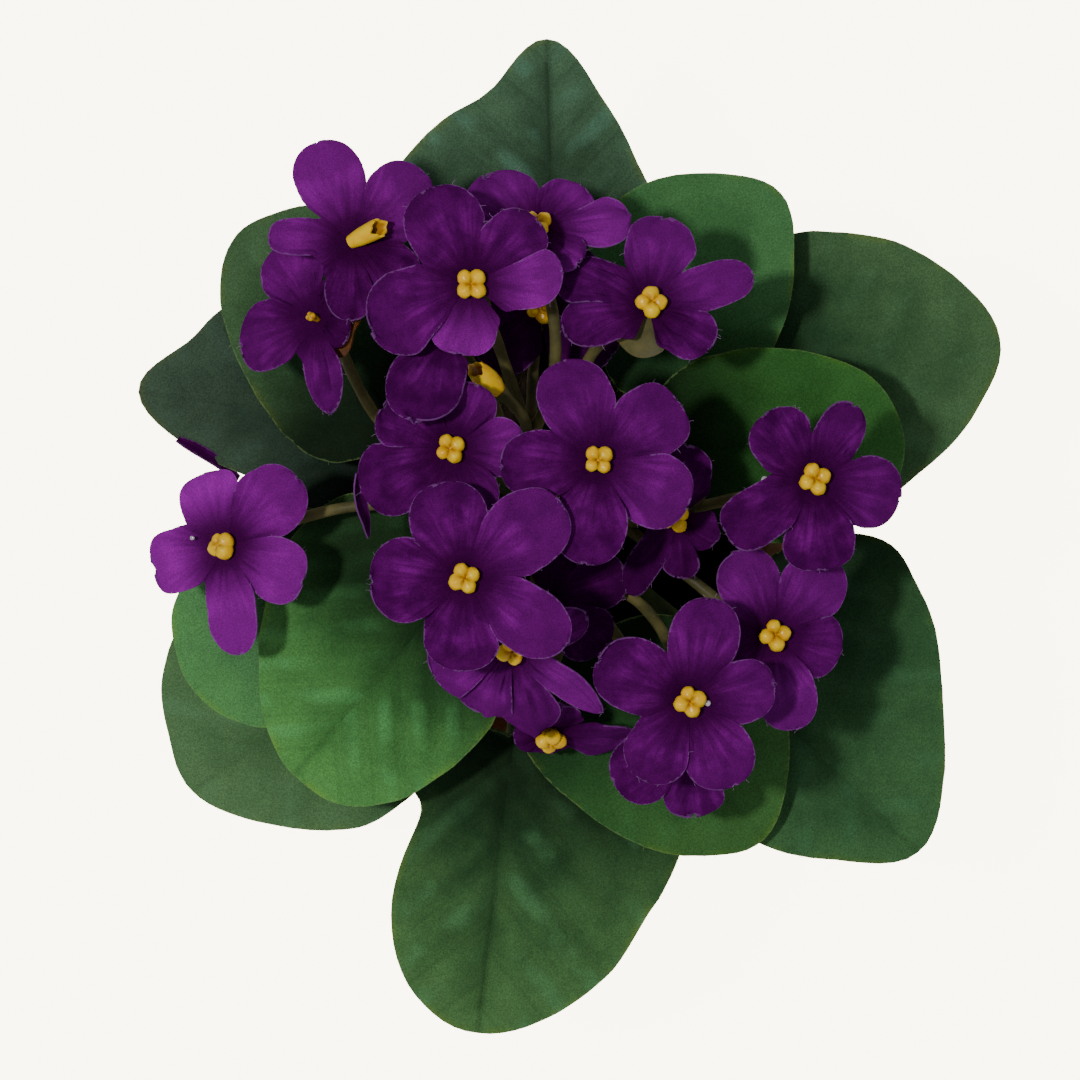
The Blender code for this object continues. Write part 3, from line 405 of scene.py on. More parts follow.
def smoothed(mesh, angle):
    mesh.shade_smooth()
    mesh.set_sharp_from_angle(angle=math.radians(angle))


def piece(name, points, faces, material, smooth_angle=50, **attributes):
    """A closed piece whose faces point outwards."""
    mesh = mesh_of(points, (), faces, **attributes)
    shape = bmesh.new()
    shape.from_mesh(mesh)
    bmesh.ops.recalc_face_normals(shape, faces=shape.faces)
    shape.to_mesh(mesh)
    shape.free()
    mesh.materials.append(material)
    smoothed(mesh, smooth_angle)
    return linked(name, mesh)


def grid_faces(rows, columns, wrap, first=0):
    """Four-cornered faces between the points of a grid, closed round if it wraps."""
    faces = []
    for row in range(rows - 1):
        for column in range(columns if wrap else columns - 1):
            following = (column + 1) % columns
            low, high = first + row * columns, first + (row + 1) * columns
            faces.append((low + column, low + following, high + following, high + column))
    return faces


def tube_faces(rings, sides):
    """Faces of a solid through rings of points, with both ends closed."""
    ends = [tuple(range(sides)), tuple(range((rings - 1) * sides, rings * sides))]
    return grid_faces(rings, sides, True) + ends


def sheet(middle, half, facing_up, wrap=False):
    """Points and faces of a closed sheet over a grid of middle points.

    facing_up is a vector on the side that counts as its top. A sheet that wraps is
    a ring of spokes about a pole, closed by one face.
    """
    rows, columns, _ = middle.shape
    along = np.roll(middle, -1, 1) - np.roll(middle, 1, 1) if wrap else np.gradient(middle, axis=1)
    normal = unit(np.cross(along, np.gradient(middle, axis=0)))
    if wrap:
        normal[0] = unit(normal[1].mean(axis=0))
    normal *= np.sign(np.sum(normal * facing_up, axis=-1, keepdims=True) + 1e-9)
    count = rows * columns
    points = np.stack((middle + normal * half, middle - normal * half)).reshape(-1, 3)
    faces = grid_faces(rows, columns, wrap) + grid_faces(rows, columns, wrap, count)
    rim = [(rows - 1) * columns + column for column in range(columns)]
    if wrap:
        faces += [tuple(range(columns)), tuple(range(count, count + columns))]
    else:
        right = [row * columns + columns - 1 for row in range(1, rows - 1)]
        left = [row * columns for row in range(rows - 2, 0, -1)]
        rim = list(range(columns)) + right + rim[::-1] + left
    for here, following in zip(rim, rim[1:] + rim[:1]):
        faces.append((here, following, count + following, count + here))
    return points, faces


def turned(rings, sides):
    """Points and faces of a turned solid through rings of (radius, height)."""
    angles = np.arange(sides) * 2 * math.pi / sides
    radius, height = (np.array(column, float)[:, None] for column in zip(*rings))
    points = np.stack(np.broadcast_arrays(radius * np.cos(angles), radius * np.sin(angles), height), -1)
    return points, tube_faces(len(rings), sides)


def together(shapes):
    """Points and faces of several shapes as one."""
    points, faces = [], []
    for new_points, new_faces in shapes:
        faces += [tuple(len(points) + corner for corner in face) for face in new_faces]
        points.extend(new_points)
    return points, faces


def fitted(made, slot, *nodes):
    """Fix a piece to the plant's one body, in place of CAD nodes."""
    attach(made, "root")
    if nodes:
        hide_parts(*nodes)
    return made


# Node trees


def linear(colour):
    """Display colour from 0 to 255 as the linear values that a shader takes."""
    share = np.asarray(colour, float) / 255
    made = np.where(share <= 0.04045, share / 12.92, ((share + 0.055) / 1.055) ** 2.4)
    return (*made.tolist(), 1.0)


def toned(colour, gains, lift=0):
    """A display colour with its channels brightened or darkened."""
    return [min(255, channel * gain + lift) for channel, gain in zip(colour, gains)]


class Tree:
    """A node tree in the making: each method adds nodes and gives back what comes out."""

    def __init__(self, tree):
        self.tree = tree

    def put(self, kind, values=None, **settings):
        """Outputs of a new node, its inputs set to values or joined to sockets."""
        made = self.tree.nodes.new(kind)
        for key, value in settings.items():
            setattr(made, key, value)
        for key, value in (values or {}).items():
            if isinstance(value, bpy.types.NodeSocket):
                self.tree.links.new(value, made.inputs[key])
            else:
                made.inputs[key].default_value = value
        return made.outputs

    def calculate(self, operation, first, second=0.0, third=0.0):
        return self.put("ShaderNodeMath", {0: first, 1: second, 2: third}, operation=operation)[0]

    def times(self, first, second, plus=None):
        if plus is None:
            return self.calculate("MULTIPLY", first, second)
        return self.calculate("MULTIPLY_ADD", first, second, plus)

    def ramp(self, value, low, high, start=0.0, end=1.0):
        """A value that eases from start to end as the input goes from low to high."""
        values = {0: value, 1: low, 2: high, 3: start, 4: end}
        return self.put("ShaderNodeMapRange", values, interpolation_type="SMOOTHSTEP")[0]

    def noise(self, place, scale, detail=2.0, roughness=0.5):
        values = {"Vector": place, "Scale": scale, "Detail": detail, "Roughness": roughness}
        return self.put("ShaderNodeTexNoise", values)[0]

    def parts(self, vector):
        return self.put("ShaderNodeSeparateXYZ", {0: vector})

    def joined(self, x=0.0, y=0.0, z=0.0):
        return self.put("ShaderNodeCombineXYZ", {0: x, 1: y, 2: z})[0]


class Group(Tree):
    """A node group. An input is named with its usual value, or with its kind of socket."""

    def __init__(self, name, outputs, kind="ShaderNodeTree", **inputs):
        super().__init__(bpy.data.node_groups.new(name, kind))
        for label, usual in inputs.items():
            socket = usual if isinstance(usual, str) else {float: "Float", int: "Int"}[type(usual)]
            made = self.socket(label.replace("_", " "), "INPUT", socket)
            if usual != socket:
                made.default_value = usual
        for label in outputs:
            self.socket(label, "OUTPUT", "Float" if kind == "ShaderNodeTree" else "Geometry")
        self.given = list(self.put("NodeGroupInput"))[:len(inputs)]

    def socket(self, label, way, kind):
        return self.tree.interface.new_socket(label, in_out=way, socket_type="NodeSocket" + kind)

    def give(self, *results):
        self.put("NodeGroupOutput", dict(enumerate(results)))
        return self.tree

    def shape(self, kind, **values):
        """A geometry node, its inputs by name."""
        named = {key.replace("_", " "): value for key, value in values.items()}
        return self.put("GeometryNode" + kind, named)[0]

    def stored(self, name, kind="FLOAT"):
        return self.put("GeometryNodeInputNamedAttribute", {"Name": name}, data_type=kind)[0]

    def random(self, low, high, seed):
        """Random values between two numbers or two vectors."""
        several = isinstance(low, tuple)
        values = {0 if several else 2: low, 1 if several else 3: high, "Seed": seed}
        kind = "FLOAT_VECTOR" if several else "FLOAT"
        return self.put("FunctionNodeRandomValue", values, data_type=kind)[0 if several else 1]

    def roughened(self, shape, scale, detail, amount):
        """A shape with its points pushed about by noise."""
        cloud = self.put("ShaderNodeTexNoise", {"Scale": scale, "Detail": detail})[1]
        centred = self.put("ShaderNodeVectorMath", {0: cloud, 1: (0.5, 0.5, 0.5)}, operation="SUBTRACT")[0]
        offset = self.put("ShaderNodeVectorMath", {0: centred, "Scale": amount}, operation="SCALE")[0]
        return self.shape("SetPosition", Geometry=shape, Offset=offset)

    def give_shape(self, shape, finish):
        whole = self.shape("RealizeInstances", Geometry=shape)
        return self.give(self.shape("SetMaterial", Geometry=whole, Material=finish))


class Finish(Tree):
    """A material: a ground colour, tints laid over it, then roughness and relief."""

    def __init__(self, name, roughness, specular, **constants):
        self.material = bpy.data.materials.new(name)
        self.material.use_nodes = True
        super().__init__(self.material.node_tree)
        self.shader = self.tree.nodes["Principled BSDF"]
        for key, value in {"Roughness": roughness, "Specular_IOR_Level": specular, **constants}.items():
            self.shader.inputs[key.replace("_", " ")].default_value = value
        self.place = self.put("ShaderNodeTexCoord")["Object"]
        self.colour = None

    def grain(self, scale, detail=2.0, roughness=0.5):
        """Noise that stays fixed in the plant."""
        return self.noise(self.place, scale, detail, roughness)

    def stored(self, name, output="Vector"):
        return self.put("ShaderNodeAttribute", attribute_name=name)[output]

    def effect(self, name, **values):
        """A shared effect group with this material's own values."""
        named = {key.replace("_", " ").title(): value for key, value in values.items()}
        return self.put("ShaderNodeGroup", named, node_tree=GROUPS[name])

    def lay(self, factor, first, second, blend="MIX"):
        """Set the colour to a mix of two, each a socket, a display colour or reflectances."""
        values = {0: factor}
        for index, colour in ((6, first), (7, second)):
            plain = not isinstance(colour, bpy.types.NodeSocket) and len(colour) == 3
            values[index] = linear(colour) if plain else colour
        self.colour = self.put("ShaderNodeMix", values, data_type="RGBA", blend_type=blend)[2]

    def tint(self, factor, colour):
        self.lay(factor, self.colour, colour)

    def shade(self, value):
        grey = self.put("ShaderNodeCombineColor", {0: value, 1: value, 2: value})[0]
        self.lay(1.0, self.colour, grey, "MULTIPLY")

    def done(self, height=None, distance=0.0, strength=1.0, roughness=None):
        """The material, with its relief from a height and how many mm that stands for."""
        joined = {"Base Color": self.colour, "Roughness": roughness}
        if height is not None:
            values = {"Height": height, "Distance": distance * MM, "Strength": strength}
            joined["Normal"] = self.put("ShaderNodeBump", values)[0]
        for key, value in joined.items():
            if value is not None:
                self.tree.links.new(value, self.shader.inputs[key])
        return self.material


# Effects that materials share


def flock_nap():
    """Short cut fibres glued to cloth: fine speckle, brushed patches and a tiny relief."""
    group = Group("flock nap", ("Speckle", "Patches", "Height"),
                  Vector="Vector", Speckle_Scale=2600.0, Patch_Scale=260.0)
    place, speckle_scale, patch_scale = group.given
    fine = group.noise(place, speckle_scale, 3.0, 0.65)
    patches = group.noise(place, patch_scale, 3.0, 0.55)
    return group.give(fine, patches, group.times(patches, 0.5, fine))


def frayed_edge():
    """Mask of the cut edge, where pale backing shows through in broken lengths."""
    group = Group("frayed edge", ("Mask",), Vector="Vector", Distance=1.0, Width=0.3)
    place, distance, width = group.given
    reach = group.times(width, group.ramp(group.noise(place, 900.0, 2.0, 0.6), 0.35, 0.7, 0.15, 1.8))
    return group.give(group.ramp(group.calculate("DIVIDE", distance, reach), 0.5, 1.0, 1.0, 0.0))


def fan_streaks():
    """Radial streaks that widen away from a flower's middle, for the creases' relief and their painted sheen
    and shade.
    """
    group = Group("fan streaks", ("Streak", "Height"), Fan=0.0, Radius=0.0, Shift=0.0)
    fan, radius, shift = group.given
    place = group.joined(group.times(fan, 5.5), group.times(radius, 0.05), shift)
    both = group.times(group.noise(place, 2.9, 2.0, 0.6), 0.45, group.noise(place, 1.0, 2.0, 0.6))
    window = group.times(group.ramp(radius, 2.0, 7.0), group.ramp(radius, 13.0, 21.0, 1.0, 0.15))
    return group.give(group.times(group.ramp(both, 0.60, 1.0), window), group.times(both, window))


def pressed_veins():
    """Lines of a midrib and side veins pressed into a blade, from its own coordinates."""
    group = Group("pressed veins", ("Veins", "Between"), Along=0.0, Across=0.0, Spacing=14.0, Shift=0.0)
    along, across, spacing, shift = group.given
    side = group.calculate("ABSOLUTE", across)
    half = group.times(group.calculate("GREATER_THAN", across, 0.0), 0.5)
    swept = group.times(group.times(side, side), -VEIN_BEND, group.times(side, -VEIN_SLOPE, along))
    turns = group.calculate("DIVIDE", swept, spacing)
    phase = group.calculate("ADD", turns, group.calculate("ADD", shift, half))
    nearest = group.calculate("ABSOLUTE", group.calculate("WRAP", phase, 0.5, -0.5))
    gap = group.calculate("DIVIDE", group.times(nearest, spacing), group.ramp(side, 0.0, 24.0, 1.6, 0.8))
    vein = group.times(group.ramp(gap, 0.0, 1.0, 1.0, 0.0), group.ramp(side, 14.0, 30.0, 1.0, 0.0))
    lines = group.calculate("MAXIMUM", group.times(vein, 0.45), group.ramp(side, 0.0, 1.5, 1.0, 0.0))
    return group.give(lines, group.ramp(nearest, 0.0, 0.5))


GROUPS = {"nap": flock_nap(), "edge": frayed_edge(), "streaks": fan_streaks(), "veins": pressed_veins()}


# Finishes


def petal_cloth():
    """Deep purple flocked cloth with pressed creases and a pale frayed edge, brighter as painted light where
    lit, with painted sheen and shade on its creases and painted shade at the hub.
    """
    cloth = Finish("petal_cloth", 0.9, 0.0, Sheen_Weight=0.03, Sheen_Roughness=0.5,
                   Sheen_Tint=(0.6, 0.02, 0.8, 1.0))
    fan, radius, rim = cloth.parts(cloth.stored("place"))
    # How bright the petal shows: partly its own colour, partly painted light above 0 and painted shade below
    # 0
    tone = cloth.stored("tone", "Fac")
    nap = cloth.effect("nap", vector=cloth.place, speckle_scale=3800.0, patch_scale=210.0)
    streaks = cloth.effect("streaks", fan=fan, radius=radius, shift=cloth.times(tone, 17.0))
    edge = cloth.effect("edge", vector=cloth.place, distance=rim, width=0.27)
    brushed = cloth.ramp(nap["Patches"], 0.38, 0.66, 0.08, 0.36)
    # Painted shade towards the hub, under the anthers
    hub_shade = cloth.ramp(radius, 3.0, 13.0, 0.75, 0.0)
    cloth.lay(cloth.ramp(nap["Patches"], 0.3, 0.7), PETAL_DEEP, PETAL_BRIGHT)
    # Painted light: brighter where a petal faces the lamp, more so towards its outer part
    cloth.tint(cloth.times(tone, cloth.ramp(radius, 4.0, 17.0, 0.45, 1.1)), PETAL_PAINTED_LIGHT)
    # Painted sheen along the crease ridges, in brushed patches
    cloth.tint(cloth.times(streaks["Streak"], brushed), PETAL_PAINTED_SHEEN)
    # Painted shade in the crease valleys and painted light on their ridges
    cloth.shade(cloth.ramp(streaks["Height"], 0.45, 0.95, 0.86, 1.22))
    # Painted shade at the hub, and on petals below 0, which lie in the bush's shade
    cloth.tint(cloth.calculate("MAXIMUM", hub_shade, cloth.ramp(tone, 0.0, -1.0)), PETAL_PAINTED_SHADE)
    cloth.shade(cloth.ramp(nap["Speckle"], 0.3, 0.72, 0.74, 1.3))
    cloth.tint(cloth.times(edge["Mask"], 0.4), PETAL_FRAY)
    return cloth.done(cloth.times(streaks["Height"], 1.3, cloth.times(nap["Height"], 0.5)), 0.3, 0.7)


def leaf_cloth(leaf):
    """Green flocked cloth, paler at its cut edge, with painted shade along its pressed veins, towards its
    stalk and at the back of the bush, and painted highlights on the puffed crests between the veins.
    """
    cloth = Finish(leaf.name + "_cloth", 0.85, 0.1, Sheen_Weight=0.1, Sheen_Roughness=0.5,
                   Sheen_Tint=(0.5, 0.9, 0.5, 1.0))
    along, across, rim = cloth.parts(cloth.stored("place"))
    spacing, shift, depth = leaf.veins
    length = leaf.outline[0]
    nap = cloth.effect("nap", vector=cloth.place, speckle_scale=2600.0, patch_scale=95.0)
    veins = cloth.effect("veins", along=along, across=across, spacing=spacing, shift=shift)
    edge = cloth.effect("edge", vector=cloth.place, distance=rim, width=0.3)
    # Lighter towards the tip and the cut edge; the darker stalk end is partly painted shade under the
    # flowers
    tipward = cloth.ramp(along, 0.1 * length, 1.05 * length, 0.0, 0.65)
    outer = cloth.ramp(rim, 14.0, 0.0, tipward, cloth.calculate("ADD", tipward, 0.2))
    cloth.lay(cloth.times(cloth.ramp(nap["Patches"], 0.3, 0.7), 0.35, outer), leaf.dark, leaf.light)
    yellowed = cloth.times(cloth.ramp(rim, 2.2, 0.0), cloth.ramp(nap["Patches"], 0.45, 0.62))
    cloth.tint(cloth.times(yellowed, 0.5), toned(leaf.light, (1.3, 1.1, 0.75)))
    # Painted highlights on the puffed crests between the veins, in patches
    crest_highlight_patches = cloth.ramp(cloth.grain(80.0), 0.44, 0.66, 0.0, 0.34 * depth)
    painted_crest_highlight = cloth.times(cloth.ramp(veins["Between"], 0.35, 1.0), crest_highlight_patches)
    cloth.tint(painted_crest_highlight, toned(leaf.light, (1.0, 1.1, 1.2), 8))
    # Painted shade along the pressed veins and the midrib valley
    cloth.tint(cloth.times(veins["Veins"], 0.24 * depth), toned(leaf.dark, (0.6, 0.6, 0.6)))
    # Painted shade towards the stalk, where the flowers above shade the middle of the bush, and for some
    # leaves towards the back
    seat_shade = cloth.ramp(along, -0.05 * length, 0.56 * length, 0.85, 0.0)
    if leaf.name in SHADED_BEHIND:
        begins, darkest = SHADED_BEHIND[leaf.name]
        back_shade = cloth.ramp(cloth.parts(cloth.place)[1], begins * MM, darkest * MM, 0.0, 0.8)
        seat_shade = cloth.calculate("MAXIMUM", seat_shade, back_shade)
    cloth.tint(seat_shade, toned(leaf.dark, (0.3, 0.3, 0.3)))
    cloth.shade(cloth.ramp(nap["Speckle"], 0.3, 0.72, 0.72, 1.3))
    cloth.tint(cloth.times(edge["Mask"], 0.35), LEAF_FRAY)
    relief = cloth.times(veins["Veins"], -0.4 * depth, cloth.times(nap["Height"], 0.6))
    return cloth.done(relief, 0.35, 0.6)


def stalk_plastic(name, dark, light):
    """Soft moulded plastic, streaked lengthwise and a little translucent."""
    plastic = Finish(name, 0.6, 0.28, Subsurface_Weight=0.12, Subsurface_Scale=0.001)
    streak, grain = plastic.grain(110.0, 3.0, 0.6), plastic.grain(1500.0)
    plastic.lay(plastic.ramp(streak, 0.3, 0.7), dark, light)
    plastic.tint(plastic.ramp(grain, 0.45, 0.75, 0.0, 0.25), light)
    return plastic.done(grain, 0.08, 0.5, plastic.ramp(streak, 0.3, 0.7, 0.52, 0.72))


def anther_plastic():
    """Glossy yellow moulded plastic, orange-brown in its seams, partly painted shade between and under the
    anthers.
    """
    plastic = Finish("anther_plastic", 0.3, 0.45)
    blotch = plastic.grain(420.0, 3.0, 0.6)
    plastic.lay(plastic.ramp(blotch, 0.3, 0.7), ANTHER_DEEP, ANTHER_BRIGHT)
    plastic.tint(plastic.stored("seam", "Fac"), ANTHER_SEAM_AND_SHADE)
    return plastic.done(blotch, 0.1, 0.4, plastic.ramp(blotch, 0.3, 0.7, 0.24, 0.42))


def clay_finish():
    """Fired clay with fine grit, pale salt bloom and a band darker towards its foot."""
    clay = Finish("fired_clay", 0.85, 0.2)
    height = clay.parts(clay.place)[2]
    grit, cloud = clay.grain(1400.0, 4.0, 0.65), clay.grain(28.0, 5.0, 0.6)
    squashed = clay.put("ShaderNodeMapping", {"Vector": clay.place, "Scale": (0.25, 0.25, 14.0)})[0]
    rings = clay.noise(squashed, 42.0, 3.0, 0.6)
    bloom = clay.times(clay.ramp(cloud, 0.52, 0.74), clay.ramp(height, 0.012, 0.075, 0.25, 0.8))
    clay.lay(clay.ramp(cloud, 0.3, 0.7), (176, 98, 62), (203, 126, 86))
    clay.tint(clay.ramp(rings, 0.35, 0.75, 0.0, 0.35), (160, 86, 54))
    clay.tint(clay.ramp(grit, 0.6, 0.78, 0.0, 0.6), (226, 176, 140))
    clay.tint(clay.ramp(grit, 0.4, 0.24, 0.0, 0.5), (112, 60, 40))
    clay.tint(bloom, (214, 190, 168))
    # Darker towards the foot
    clay.tint(clay.ramp(height, 0.012, 0.0, 0.0, 0.35), (120, 66, 46))
    relief = clay.times(rings, 1.4, clay.times(grit, 0.5))
    return clay.done(relief, 0.35, 0.8, clay.ramp(cloud, 0.3, 0.7, 0.78, 0.95))


def soil_finish(name, dark, light):
    """Crumbly dark potting mix, dark partly as painted shade under the bush."""
    mix = Finish(name, 0.95, 0.15)
    crumbs, fine = mix.grain(420.0, 5.0, 0.7), mix.grain(1900.0, 3.0, 0.6)
    mix.lay(mix.ramp(crumbs, 0.3, 0.7), dark, light)
    mix.tint(mix.ramp(fine, 0.66, 0.78, 0.0, 0.7), (86, 68, 50))
    return mix.done(mix.calculate("ADD", crumbs, fine), 0.8, 1.0, mix.ramp(fine, 0.3, 0.7, 0.85, 1.0))


def plain_fibre(name, dark, light):
    """Loose fibre pulled from the cloth."""
    fibre = Finish(name, 0.7, 0.3)
    fibre.lay(fibre.grain(300.0), dark, light)
    return fibre.done()


def set_glue():
    """Set glue, glossy and half clear, its pale colour partly painted glint."""
    glue = Finish("set_glue", 0.12, 0.7, Subsurface_Weight=0.3, Subsurface_Scale=0.0006)
    cloud = glue.grain(900.0)
    # Pale colour partly painted glint, with the purple beneath
    glue.lay(cloud, (120, 96, 132), (226, 218, 228))
    return glue.done(cloud, 0.2, 0.6)


# Shapes that repeat or follow a path, by geometry nodes


def stalk_tree():
    """Sweeps a round section along every path, as thick as its points say."""
    tree = Group("moulded stalk", ("Stalks",), "GeometryNodeTree", Paths="Geometry", Sides=14,
                 Finish="Material")
    paths, sides, finish = tree.given
    curves = tree.shape("MeshToCurve", Mesh=paths)
    section = tree.shape("CurvePrimitiveCircle", Resolution=sides, Radius=1.0)
    swept = tree.shape("CurveToMesh", Curve=curves, Profile_Curve=section, Scale=tree.stored("thickness"),
                       Fill_Caps=True)
    return tree.give_shape(swept, finish)


def anther_tree():
    """Four round anthers on a short ribbed column, standing up from the origin."""
    tree = Group("anther head", ("Head",), "GeometryNodeTree", Start="Geometry", Ball_Radius=0.00175,
                 Spread=0.0017, Column_Radius=0.0017, Column_Height=0.003, Unevenness=0.12, Seed=0,
                 Finish="Material")
    start, ball_radius, spread, column_radius, column_height, uneven, seed, finish = tree.given
    corners = tree.shape("MeshCircle", Vertices=ANTHER_COUNT, Radius=spread)
    ball = tree.shape("MeshUVSphere", Segments=20, Rings=14, Radius=ball_radius)
    low, high = tree.calculate("SUBTRACT", 1.0, uneven), tree.calculate("ADD", 1.0, uneven)
    sizes = tree.random(low, high, seed)
    balls = tree.shape("InstanceOnPoints", Points=corners, Instance=ball, Scale=sizes)
    balls = tree.shape("Transform", Geometry=balls, Translation=tree.joined(z=column_height))
    column = tree.shape("MeshCylinder", Vertices=20, Side_Segments=6, Radius=column_radius,
                        Depth=column_height)
    middle = tree.joined(z=tree.times(column_height, 0.5))
    column = tree.shape("Transform", Geometry=column, Translation=middle)
    both = tree.tree.nodes.new("GeometryNodeJoinGeometry")
    for part in (start, balls, column):
        tree.tree.links.new(part, both.inputs[0])
    whole = tree.shape("RealizeInstances", Geometry=both.outputs[0])
    return tree.give_shape(tree.roughened(whole, 700.0, 1.0, 0.0006), finish)


def thread_tree():
    """A thin bent thread on every point, along the heading that it carries."""
    tree = Group("pulled threads", ("Threads",), "GeometryNodeTree", Roots="Geometry", Length=0.0012,
                 Thickness=0.00005, Bend=0.4, Seed=0, Finish="Material")
    roots, length, thickness, bend, seed, finish = tree.given
    line = tree.shape("CurveQuadraticBezier", Resolution=4, Start=(0, 0, 0),
                      Middle=tree.joined(z=tree.times(length, 0.5)),
                      End=tree.joined(x=tree.times(length, bend), z=length))
    section = tree.shape("CurvePrimitiveCircle", Resolution=3, Radius=thickness)
    thread = tree.shape("CurveToMesh", Curve=line, Profile_Curve=section, Fill_Caps=True)
    heading = {"Vector": tree.stored("heading", "FLOAT_VECTOR")}
    turn = tree.put("FunctionNodeAlignRotationToVector", heading, axis="Z")[0]
    spin = {"Axis": (0, 0, 1), "Angle": tree.random(0.0, FULL_TURN, seed)}
    about = tree.put("FunctionNodeAxisAngleToRotation", spin)[0]
    turned_about = tree.put("FunctionNodeRotateRotation", {0: turn, 1: about}, rotation_space="LOCAL")[0]
    placed = tree.shape("InstanceOnPoints", Points=roots, Instance=thread, Rotation=turned_about,
                        Scale=tree.random(0.35, 1.3, seed))
    return tree.give_shape(placed, finish)


def crumb_tree():
    """Rough crumbs strewn over the top of the soil."""
    tree = Group("strewn crumbs", ("Crumbs",), "GeometryNodeTree", Ground="Geometry", Density=250000.0,
                 Size=0.0011, Seed=0, Finish="Material")
    ground, density, size, seed, finish = tree.given
    normal = tree.parts(tree.put("GeometryNodeInputNormal")[0])[2]
    height = tree.parts(tree.put("GeometryNodeInputPosition")[0])[2]
    on_top = tree.times(tree.calculate("GREATER_THAN", normal, 0.3),
                        tree.calculate("GREATER_THAN", height, 0.07))
    points = tree.shape("DistributePointsOnFaces", Mesh=ground, Selection=on_top, Density=density, Seed=seed)
    lump = tree.roughened(tree.shape("MeshIcoSphere", Radius=size, Subdivisions=2), 1300.0, 2.0, 0.0024)
    placed = tree.shape("InstanceOnPoints", Points=points, Instance=lump,
                        Rotation=tree.random((0, 0, 0), (FULL_TURN,) * 3, seed),
                        Scale=tree.random((0.3, 0.3, 0.2), (1.5, 1.2, 0.9), seed))
    return tree.give_shape(placed, finish)


STALK_TREE, ANTHER_TREE, THREAD_TREE, CRUMB_TREE = stalk_tree(), anther_tree(), thread_tree(), crumb_tree()


def evaluated_mesh(source):
    bpy.context.view_layer.update()
    return bpy.data.meshes.new_from_object(source.evaluated_get(bpy.context.evaluated_depsgraph_get()))


def grown(name, source, tree, **values):
    """A plain mesh from a geometry node tree on a source mesh."""
    seed = linked("seed", source)
    modifier = seed.modifiers.new(tree.name, "NODES")
    modifier.node_group = tree
    sockets = {item.name: item.identifier for item in tree.interface.items_tree if item.in_out == "INPUT"}
    for key, value in values.items():
        modifier[sockets[key.replace("_", " ")]] = value
    mesh = evaluated_mesh(seed)
    bpy.data.objects.remove(seed)
    return linked(name, mesh)


# Leaves


def outline_radius(leaf, angle):
    """Distance from the seat to the blade's edge, at degrees from the tip."""
    radii = np.array(leaf.outline, float)
    place = (np.asarray(angle) % 360) / 360 * len(radii)
    index = np.floor(place).astype(int)
    t = place - index
    before, here, following, beyond = (radii[(index + step) % len(radii)] for step in (-1, 0, 1, 2))
    return 0.5 * (2 * here + (following - before) * t
                  + (2 * before - 5 * here + 4 * following - beyond) * t * t
                  + (3 * here - before - 3 * following + beyond) * t ** 3)


def blade_height(leaf, along, across):
    """Height of the blade's plain form over its seat, as the CAD has it."""
    length = leaf.outline[0]
    part = np.maximum(along, 0) / length
    side = np.abs(across) / (BLADE_HALF_WIDTH * length)
    angle = np.degrees(np.arctan2(across, along))
    edge = np.minimum(np.hypot(along, across) / outline_radius(leaf, angle), WAVE_LIMIT)
    size, count, phase = leaf.wave
    return (leaf.arch * 4 * part * (1 - part) - leaf.droop * part * part
            + leaf.fold * side * (FOLD_CREST - side)
            + size * edge * edge * np.sin(np.radians(count * angle + phase)))


def blade_relief(leaf, along, across, margin):
    """Puffed cloth between the pressed veins, and loose dents, fading at the margin."""
    spacing, shift, depth = leaf.veins
    side = np.abs(across)
    swept = along - VEIN_SLOPE * side - VEIN_BEND * side ** 2
    puff = np.sin(math.pi * (swept / spacing + shift + 0.5 * (across > 0))) ** 2
    inner = smoothstep(0, 7, side) * (1 - smoothstep(16, 34, side)) * smoothstep(0, 6, margin)
    valley = -MIDRIB_DEPTH * np.exp(-(side / 2.4) ** 2) * smoothstep(0, 10, margin)
    seed = sum(map(ord, leaf.name))
    dents = 0.55 * ripple(along, across, 22, seed) + 0.3 * ripple(along, across, 9, seed + 1)
    loose = dents * (0.35 + 0.65 * depth) * smoothstep(0, 5, margin)
    return depth * (PUFF_HEIGHT * puff * inner + valley) + loose


def blade_point(leaf, along, across, lift=0.0):
    """World point on the blade's middle surface."""
    rise = blade_height(leaf, along, across) + lift
    steps = (polar(leaf.axis, 1), along), (polar(leaf.axis + 90, 1), across), (UP, rise)
    return polar(*leaf.seat) + sum(way * np.asarray(reach, float)[..., None] for way, reach in steps)


def make_blade(leaf):
    """Cloth blade as a fine closed sheet, with its own coordinates on every point."""
    pole = BLADE_POLE * leaf.outline[0]
    angle = np.arange(BLADE_SPOKES) * 360 / BLADE_SPOKES
    ragged = 0.12 * ripple(angle, angle * 0, 7, len(leaf.name)) + 0.25 * ripple(angle, angle * 0, 23, 5)
    edge = outline_radius(leaf, angle) + ragged
    edge_along, edge_across = edge * np.cos(np.radians(angle)), edge * np.sin(np.radians(angle))
    share = (1 - (1 - np.linspace(0.02, 1, BLADE_RINGS)) ** 1.5)[:, None]
    along, across = pole + (edge_along - pole) * share, edge_across * share
    margin = (1 - share) * np.hypot(edge_along - pole, edge_across)
    lift = blade_relief(leaf, along, across, margin)
    points, faces = sheet(blade_point(leaf, along, across, lift), BLADE_HALF_THICKNESS, UP, wrap=True)
    own = np.stack((along, across, margin), -1).reshape(-1, 3)
    made = piece(leaf.name + "_blade", points, faces, leaf_cloth(leaf), place=np.concatenate((own, own)))
    return fitted(made, "leaf_upper" if leaf.level > LOWEST_LEVEL else "leaf_lower", leaf.name)


def crown_radius(height):
    radii, heights = zip(*CROWN_PROFILE)
    return float(np.interp(height, heights, radii))


